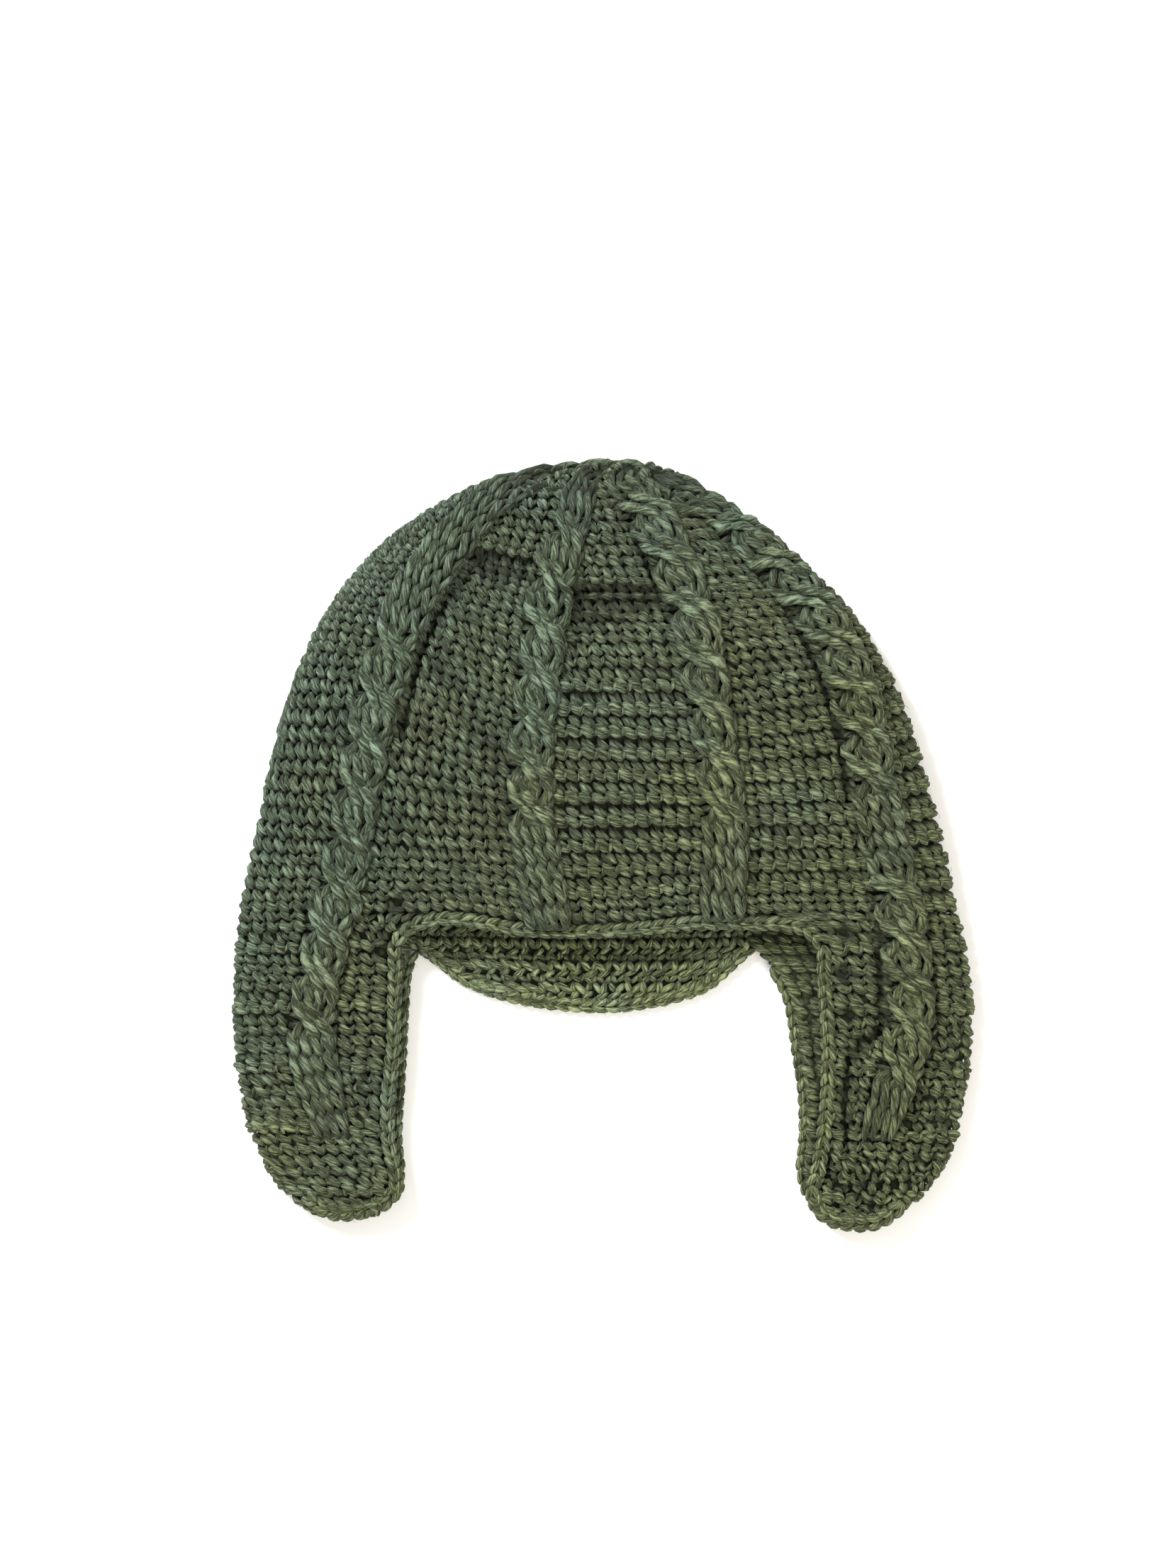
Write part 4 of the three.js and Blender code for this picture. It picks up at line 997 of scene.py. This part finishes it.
def makeCable(name, surface, turnOf, low, high, crossings, widthAt, onBack):
    batch = newBatch()
    guide = cableGuide(surface, turnOf, low, high)
    samples = yarn["backSamples"] if onBack else cable["samples"]
    start, end, *centres = np.interp([low, high, *crossings], guide["climb"], guide["length"]).tolist()
    rows = []
    edge = start
    for centre in centres + [None]:
        until = end if centre is None else centre - cable["crossing"] / 2
        gap = until - edge
        count = int(round(gap / cable["stitch"]))
        if gap > 1.5:
            count = max(count, 1)
        for k in range(count):
            rows.append(("straight", edge + gap * (k + 0.5) / count, (gap + 2.0) / count))
        if centre is not None:
            rows.append(("crossing", centre, 0.95 * cable["crossing"]))
            edge = centre + cable["crossing"] / 2
    # the bars beneath
    places = np.arange(start, end, cable["ladder"])
    half = widthAt(np.interp(places, guide["length"], guide["climb"]))
    shape = strandLine(ladderStrand, 5)
    across = shape[:, 0] * half[:, None]
    along = places[:, None] + shape[:, 1] + random.normal(0, 0.2, (len(places), 1))
    height = np.broadcast_to(shape[:, 2] - 1.5, across.shape)
    # painted shade: the bars beneath get a low height value, so the material paints them darker
    addStrands(batch, onGuide(guide, across, along, height), shape[:, 3], shape[:, 2] + 0.5)
    across, along, height, radius = [], [], [], []
    for kind, centre, size in rows:
        climb = float(np.interp(centre, guide["length"], guide["climb"]))
        narrow = widthAt(climb) / (cable["width"] / 2)
        tall = min(1, 0.3 + 0.7 * narrow)
        sink = cable["sink"] * float(smoothStep(climb, 130, 144))
        if kind == "straight":
            plan = [(straightStrands, x) for x in cable["columns"]]
        else:
            plan = [(underStrands, x) for x in (-2.4, 2.4)] + [(overStrands, x) for x in (-2.5, 2.5)]
        for strands, x in plan:
            for controls in strands:
                shape = strandLine(controls, samples)
                swing = random.normal(0, 1, 5)[:4] * cable["uneven"]
                bend = random.normal(0, 1, (3, samples)) * cable["wander"]
                across.append((x + shape[:, 0] + swing[0] + bend[0]) * narrow)
                along.append(centre + shape[:, 1] * size + swing[1] + bend[1])
                height.append((shape[:, 2] + swing[2] + bend[2] * 0.5) * tall - sink)
                radius.append(shape[:, 3] * (1 + swing[3]) * (0.25 + 0.75 * narrow))
    height = np.array(height)
    press = 0.5 if onBack else 1.0
    points = onGuide(guide, np.array(across), np.array(along), height * press + cable["lift"])
    # painted shade: strands lying lower in the cable get a lower height value and come out darker
    addStrands(batch, points, np.array(radius), height * 0.56 - 0.25)
    makeYarn(name + "_yarn", batch, cableYarn, yarn["backSides"] if onBack else cable["sides"],
             [name])


for name, column, low, high, crossings in cableSpecs:
    makeCable(name, crownSurface, cableTurn(column), low, high, crossings, cableHalf(column), column >= 4)
print("cables done")

# Flaps

flap = {
    "rows": 15,
    "stitchWidth": 5.7,
    "cableEnd": -111.0,      # height at which its cables end
    "cableTip": 0.74,        # their width there, as a share
    "loose": -70.0,          # below this its stitches are looser
    "innerEnds": (8.0, 2.6),  # how far from its edges the inside's rows end, front and back
}


# The turn at a place on a flap. It runs on without a jump over the left flap's fold
def flapTurnAt(x, y, side, back):
    t = turnAt(x, y, back)
    return t - 2 if back and side < 0 else t


def flapTurn(edges, side, back):
    def turn(y):
        x = smoothTable(edges, y)[..., 1 if back else 0] + side * (form["edgingWidth"] / 2 + form["seam"])
        return flapTurnAt(x, y, side, back)
    return turn


# Half the width of a flap's cable, which narrows where it ends
def flapCableHalf(y):
    full = smoothStep(y, flap["cableEnd"], -84.0)
    return cable["width"] / 2 * (flap["cableTip"] + (1 - flap["cableTip"]) * full)


def flapCableTurn(column, side, offset):
    back = column >= 2

    def turn(y):
        x = smoothTable(flapCableRoutes, y)[..., column] + offset * flapCableHalf(y)
        return flapTurnAt(x, y, side, back)
    return turn


# The inside of a flap's back half, which shows beside its front half
def insideSurface(turn, climb):
    return flapSurface(-turn, climb, form["wall"])


def makeFlap(label, edges, side, crossings, wander):
    batch = newBatch()
    bottom = edges[-1][0] + 1.2
    top = form["rimY"] - form["seam"]

    def rowClimb(row, turn):
        wave = 0.7 * np.sin(turn * 11 + row * 1.7)
        return bottom + (top - bottom) * row / flap["rows"] + wave * np.clip(row / 3, 0, 1)

    def levelRowClimb(row, turn):
        return rowClimb(row, 0 * turn)

    def innerTurn(half):
        def turn(y):
            x = smoothTable(edges, y)[..., half] + side * flap["innerEnds"][half]
            return -flapTurnAt(x, y, side, True)
        return turn

    # Rows run over the fold, on the left from the back half, on the right from the front one.
    columns = {"front": 0, "back": 2} if side < 0 else {"front": 1, "back": 3}
    first, last = ("back", "front") if side < 0 else ("front", "back")
    ends = {face: flapTurn(edges, side, face == "back") for face in columns}

    def beside(face, way):
        return flapCableTurn(columns[face], side, -side * way)

    spans = [(ends[first], beside(first, 1)), (beside(first, -1), beside(last, -1)),
             (beside(last, 1), ends[last])]
    whole = [(ends[first], ends[last])]
    for row in range(flap["rows"]):
        y = float(rowClimb(row + 0.5, 0.0))
        for low, high in (spans if y > flap["cableEnd"] else whole):
            field = {"surface": flapSurface, "rowClimb": rowClimb, "low": low, "high": high, "ridge": 0.08,
                     "width": flap["stitchWidth"], "height": stitch["height"], "start": y,
                     "wander": wander * (1.0 + 0.4 * (y < flap["loose"])), "lift": 0.2}
            layStitches(batch, ridgeStrands if row % 3 == 1 else fanStrands, yarn["samples"], field, row)
        field = {"surface": insideSurface, "rowClimb": levelRowClimb, "low": innerTurn(int(side > 0)),
                 "high": innerTurn(int(side < 0)), "ridge": 0.3, "width": flap["stitchWidth"],
                 "height": stitch["height"], "start": y, "lift": 0.9, "front": False}
        layStitches(batch, plainStrands, yarn["backSamples"], field, row)
    makeYarn("stitches_flap_" + label, batch, crochetYarn, yarn["sides"])
    for face, column in columns.items():
        makeCable(f"flap_cable_{label}_{face}", flapSurface, flapCableTurn(column, side, 0), flap["cableEnd"],
                  form["rimY"], crossings, flapCableHalf, face == "back")


makeFlap("left", leftFlapEdges, -1, (-66.5, -49.0, -32.5), 1.2)
makeFlap("right", rightFlapEdges, 1, (-86.0, -68.5, -51.5, -34.0), 1.25)
print("flaps done")

# Neck flap

neck = {
    "rows": 5,
    "rowHeight": 8.4,
    "stitchWidth": 5.2,
    "samples": 5,
    "lowest": -61.5,         # where its first row starts
    "upper": 4.0,            # height of its upper face, and of its lower one
    "lower": 0.3,
}

# here both legs of a stitch lean together into a V
neckStrands = [
    [(0.4, 8.4, 0.2, 0.8), (1.0, 7.3, 1.5, 1.25), (1.9, 5.9, 1.9, 1.35), (2.8, 4.6, 0.4, 0.85)],
    [(5.0, 8.4, 0.1, 0.8), (4.7, 7.3, 1.3, 1.2), (4.0, 5.9, 1.7, 1.3), (3.1, 4.7, 0.3, 0.85)],
    [(0.0, 2.9, 0.1, 0.7), (1.3, 3.2, 1.3, 1.1), (3.0, 4.0, 1.6, 1.15), (4.6, 4.8, 0.3, 0.75)],
    [(0.3, 2.6, 0.0, 0.7), (1.1, 1.7, 1.2, 1.15), (2.5, 0.5, 0.6, 0.9)],
    [(5.1, 2.8, 0.0, 0.7), (4.5, 1.7, 1.1, 1.15), (3.3, 0.6, 0.5, 0.9)],
]


def neckHeight(y):
    return 1.6 * np.clip((y + 35) / 8.6, 0, 1)


# Its upper face, and its lower one, on which the rows run the other way
def neckFace(flip):
    def face(x, y):
        x, y = np.broadcast_arrays(np.asarray(x, float), np.asarray(y, float))
        return np.stack([flip * x, y, neck["upper" if flip > 0 else "lower"] + neckHeight(y)], -1)
    return face


# height, left end of a row, right end
neckSides = [(-64.0, -8.0, 8.0), (-62.0, -22.0, 18.0), (-59.0, -33.0, 28.0), (-55.0, -46.0, 38.0),
             (-48.5, -55.5, 46.0), (-45.0, -61.0, 50.0), (-41.0, -67.0, 54.6), (-38.5, -71.2, 56.0),
             (-26.0, -73.0, 57.0)]


def neckSide(which, flip):
    def side(y):
        return flip * smoothTable(neckSides, y)[..., which]
    return side


def neckRowClimb(row, x):
    return neck["lowest"] + neck["rowHeight"] * row + 0.0006 * x * x * (1 - row / 5)


batch = newBatch()
for flip in (1, -1):
    field = {"surface": neckFace(flip), "rowClimb": neckRowClimb, "low": neckSide(int(flip < 0), flip),
             "high": neckSide(int(flip > 0), flip), "width": neck["stitchWidth"],
             "height": neck["rowHeight"], "stepA": 0.3, "ridge": 0.2, "lift": 1.2 if flip > 0 else 0.6,
             "front": False}
    for row in range(neck["rows"]):
        field["start"] = neck["lowest"] - 0.5 + neck["rowHeight"] * (row + 0.5)
        layStitches(batch, neckStrands, neck["samples"], field, row)
makeYarn("stitches_neck_flap", batch, neckYarnPaintedLight, yarn["sides"])

# Chain edging

chain = {
    "pitch": 4.8,            # from one chain stitch to the next
    "sides": 6,
    "samples": 7,            # points along a leg above, and below
    "underSamples": 5,
    "leg": [(-0.8, 0.1, -0.5, 0.85), (0.7, 0.65, 0.7, 1.25), (2.5, 1.35, 1.2, 1.4), (4.2, 1.85, 0.6, 1.2),
            (5.4, 2.0, -0.7, 0.8)],
}


# Chain stitches along a path, each of two legs above and two below
def layChain(batch, path, up, flip=1):
    path = np.asarray(path, float)
    length = lengthAlong(path)
    dense = np.linspace(0, length[-1], max(int(length[-1] / 1.0), 8))
    line = smoothTable(np.column_stack([length, path]), dense)
    tangent = unit(np.gradient(line, axis=0))
    side = unit(np.cross(tangent, np.broadcast_to(up, line.shape)))
    lift = np.cross(side, tangent)
    count = int(round(length[-1] / chain["pitch"]))
    for k in range(count):
        for sign in (-1, 1):
            for under, samples in ((1, chain["samples"]), (-1, chain["underSamples"])):
                shape = strandLine(chain["leg"], samples)
                jitter = random.normal(0, 0.1, (3, samples))
                s = (k + 0.5) * length[-1] / count + flip * (shape[:, 0] - 2.3) + jitter[0]
                s = np.clip(s, 0, length[-1])
                across = sign * shape[:, 1] + jitter[1]
                rise = under * (shape[:, 2] + jitter[2] * 0.5)
                at, sideAt, liftAt = [np.stack([np.interp(s, dense, values[:, i]) for i in range(3)], -1)
                                      for values in (line, side, lift)]
                points = at + across[:, None] * sideAt + rise[:, None] * liftAt
                # painted shade: the legs' low ends get a low height value and come out darker
                addStrands(batch, points[None], shape[None, :, 3], shape[None, :, 2] + 1.2)


def edgeHeight(x, y, back):
    turn = turnAt(x, y, back)
    return flapSurface(turn, y, form["wall"] / 2)[..., 2]


def flapEdgePath(edges, back, first, last):
    ys = np.linspace(first, last, 24)
    xs = smoothTable(edges, ys)[:, 1 if back else 0]
    return np.column_stack([xs, ys, edgeHeight(xs, ys, back)])


edgeXs = np.linspace(frontEdge[0][0], frontEdge[-1][0], 60)
edgeYs = smoothTable(frontEdge, edgeXs)[:, 0]
edgePaths = {
    "edging_front": np.column_stack([edgeXs, edgeYs, edgeHeight(edgeXs, edgeYs, False)]),
    "edging_left_front": flapEdgePath(leftFlapEdges, False, -39, -133),
    "edging_right_front": flapEdgePath(rightFlapEdges, False, -39, -135),
    "edging_left_back": flapEdgePath(leftFlapEdges, True, -41, -131),
    "edging_right_back": flapEdgePath(rightFlapEdges, True, -47, -133),
}
for name, path in edgePaths.items():
    batch = newBatch()
    layChain(batch, path, (0, 0, 1), -1 if "left" in name else 1)
    makeYarn(name + "_yarn", batch, edgingYarn, chain["sides"], [name])

# the rows that finish the neck flap and the ends of the flaps
leftHem = [(-79.2, -131.0), (-81.0, -134.8), (-87.0, -138.6), (-94.0, -140.4), (-101.0, -140.8),
           (-106.0, -139.6), (-113.0, -134.6)]
leftKnob = [(-88.0, -137.0), (-82.0, -133.8), (-77.6, -129.4)]
rightHem = [(80.5, -134.0), (82.4, -139.4), (88.0, -143.4), (95.0, -144.7), (102.0, -144.8),
            (108.0, -142.4), (114.0, -137.8)]


# Three courses, one over the other: height, how far each is moved up, the way it faces
def flapHem(line, turned):
    return [(line, 4.2, 0.0, (0, -1, 0.1), turned), (line, 7.6, -0.6, (0, -1, 0.2), -turned),
            (line, 10.6, 1.2, (0, -0.5, 0.85), turned)]


hems = {
    "hem_neck_flap": [(neckEdge, 2.6, 2.4, (0, -0.3, 1), 1)],
    "hem_flap_left": flapHem(leftHem, 1) + [(leftKnob, z, 0.0, (0.4, -0.6, 0.7), 1) for z in (5.5, 8.8)],
    "hem_flap_right": flapHem(rightHem, -1),
}
for name, runs in hems.items():
    batch = newBatch()
    for line, z, moved, up, turned in runs:
        layChain(batch, [(x, y + moved, z) for x, y in line], up, turned)
    makeYarn(name, batch, neckYarnPaintedLight if "neck" in name else crochetYarn, chain["sides"])
print("edging done")

makeYarn("loose_fibres", looseFibres, fibreYarn, fuzz["sides"])
print("loose fibres done")

# Camera, light and floor

studio = {
    "imageHeight": 597.2,    # what the picture takes in, in millimetres
    "centre": (-5.67, 22.95),
    "distance": 2400.0,
    "focusHeight": 10.0,
    "floorReach": 4.0,       # in metres, like the lights' places and sizes
    "lights": [              # name, place, size, power, colour
        ("key", (-1.15, 1.3, 1.5), 0.7, 74, "#f6f9ff"),
        ("fill", (1.0, -1.2, 1.9), 1.6, 42, "#fff7ea"),
    ],
    "skyColour": "#f6f6f6",
    "skyPower": 0.68,
}
camera = bpy.data.cameras.new("camera")
camera.sensor_width = 36.0
camera.lens = camera.sensor_width * studio["distance"] / studio["imageHeight"]
camera.clip_start = 0.05
camera.clip_end = 50
cameraObject = addObject("camera", camera)
cameraObject.location = (studio["centre"][0] * 0.001, studio["centre"][1] * 0.001,
                         (studio["distance"] + studio["focusHeight"]) * 0.001)
bpy.context.scene.camera = cameraObject

floorMesh = bpy.data.meshes.new("floor")
reach = studio["floorReach"]
corners = [(-reach, -reach, 0), (reach, -reach, 0), (reach, reach, 0), (-reach, reach, 0)]
floorMesh.from_pydata(corners, [], [(0, 1, 2, 3)])
floor = addObject("floor", floorMesh)
paper, paperTree = newMaterial("matte_white_paper")
sheetSurface = addNode(paperTree, "ShaderNodeBsdfPrincipled",
                       {"Base Color": linear("#fbfbfa"), "Roughness": 0.9, "Specular IOR Level": 0.2})
addNode(paperTree, "ShaderNodeOutputMaterial", {"Surface": sheetSurface.outputs[0]})
floorMesh.materials.append(paper)


def addSoftBox(name, place, size, power, colour):
    light = bpy.data.lights.new(name, "AREA")
    light.shape = "SQUARE"
    light.size = size
    light.energy = power
    light.color = linear(colour)[:3]
    lamp = addObject(name, light)
    lamp.location = place
    towards = -np.array(place, float)
    lamp.rotation_euler = Vector(towards).to_track_quat("-Z", "Y").to_euler()


for name, place, size, power, colour in studio["lights"]:
    addSoftBox(name, place, size, power, colour)
world = bpy.data.worlds.new("studio")
world.use_nodes = True
world.node_tree.nodes["Background"].inputs[0].default_value = linear(studio["skyColour"])
world.node_tree.nodes["Background"].inputs[1].default_value = studio["skyPower"]
bpy.context.scene.world = world
bpy.context.scene.view_settings.view_transform = "Standard"
bpy.context.scene.view_settings.look = "None"

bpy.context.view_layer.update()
shown = [o for o in bpy.context.scene.objects if o.type == "MESH" and not o.hide_render]
print("triangles shown", sum(countTriangles(o.data) for o in shown))
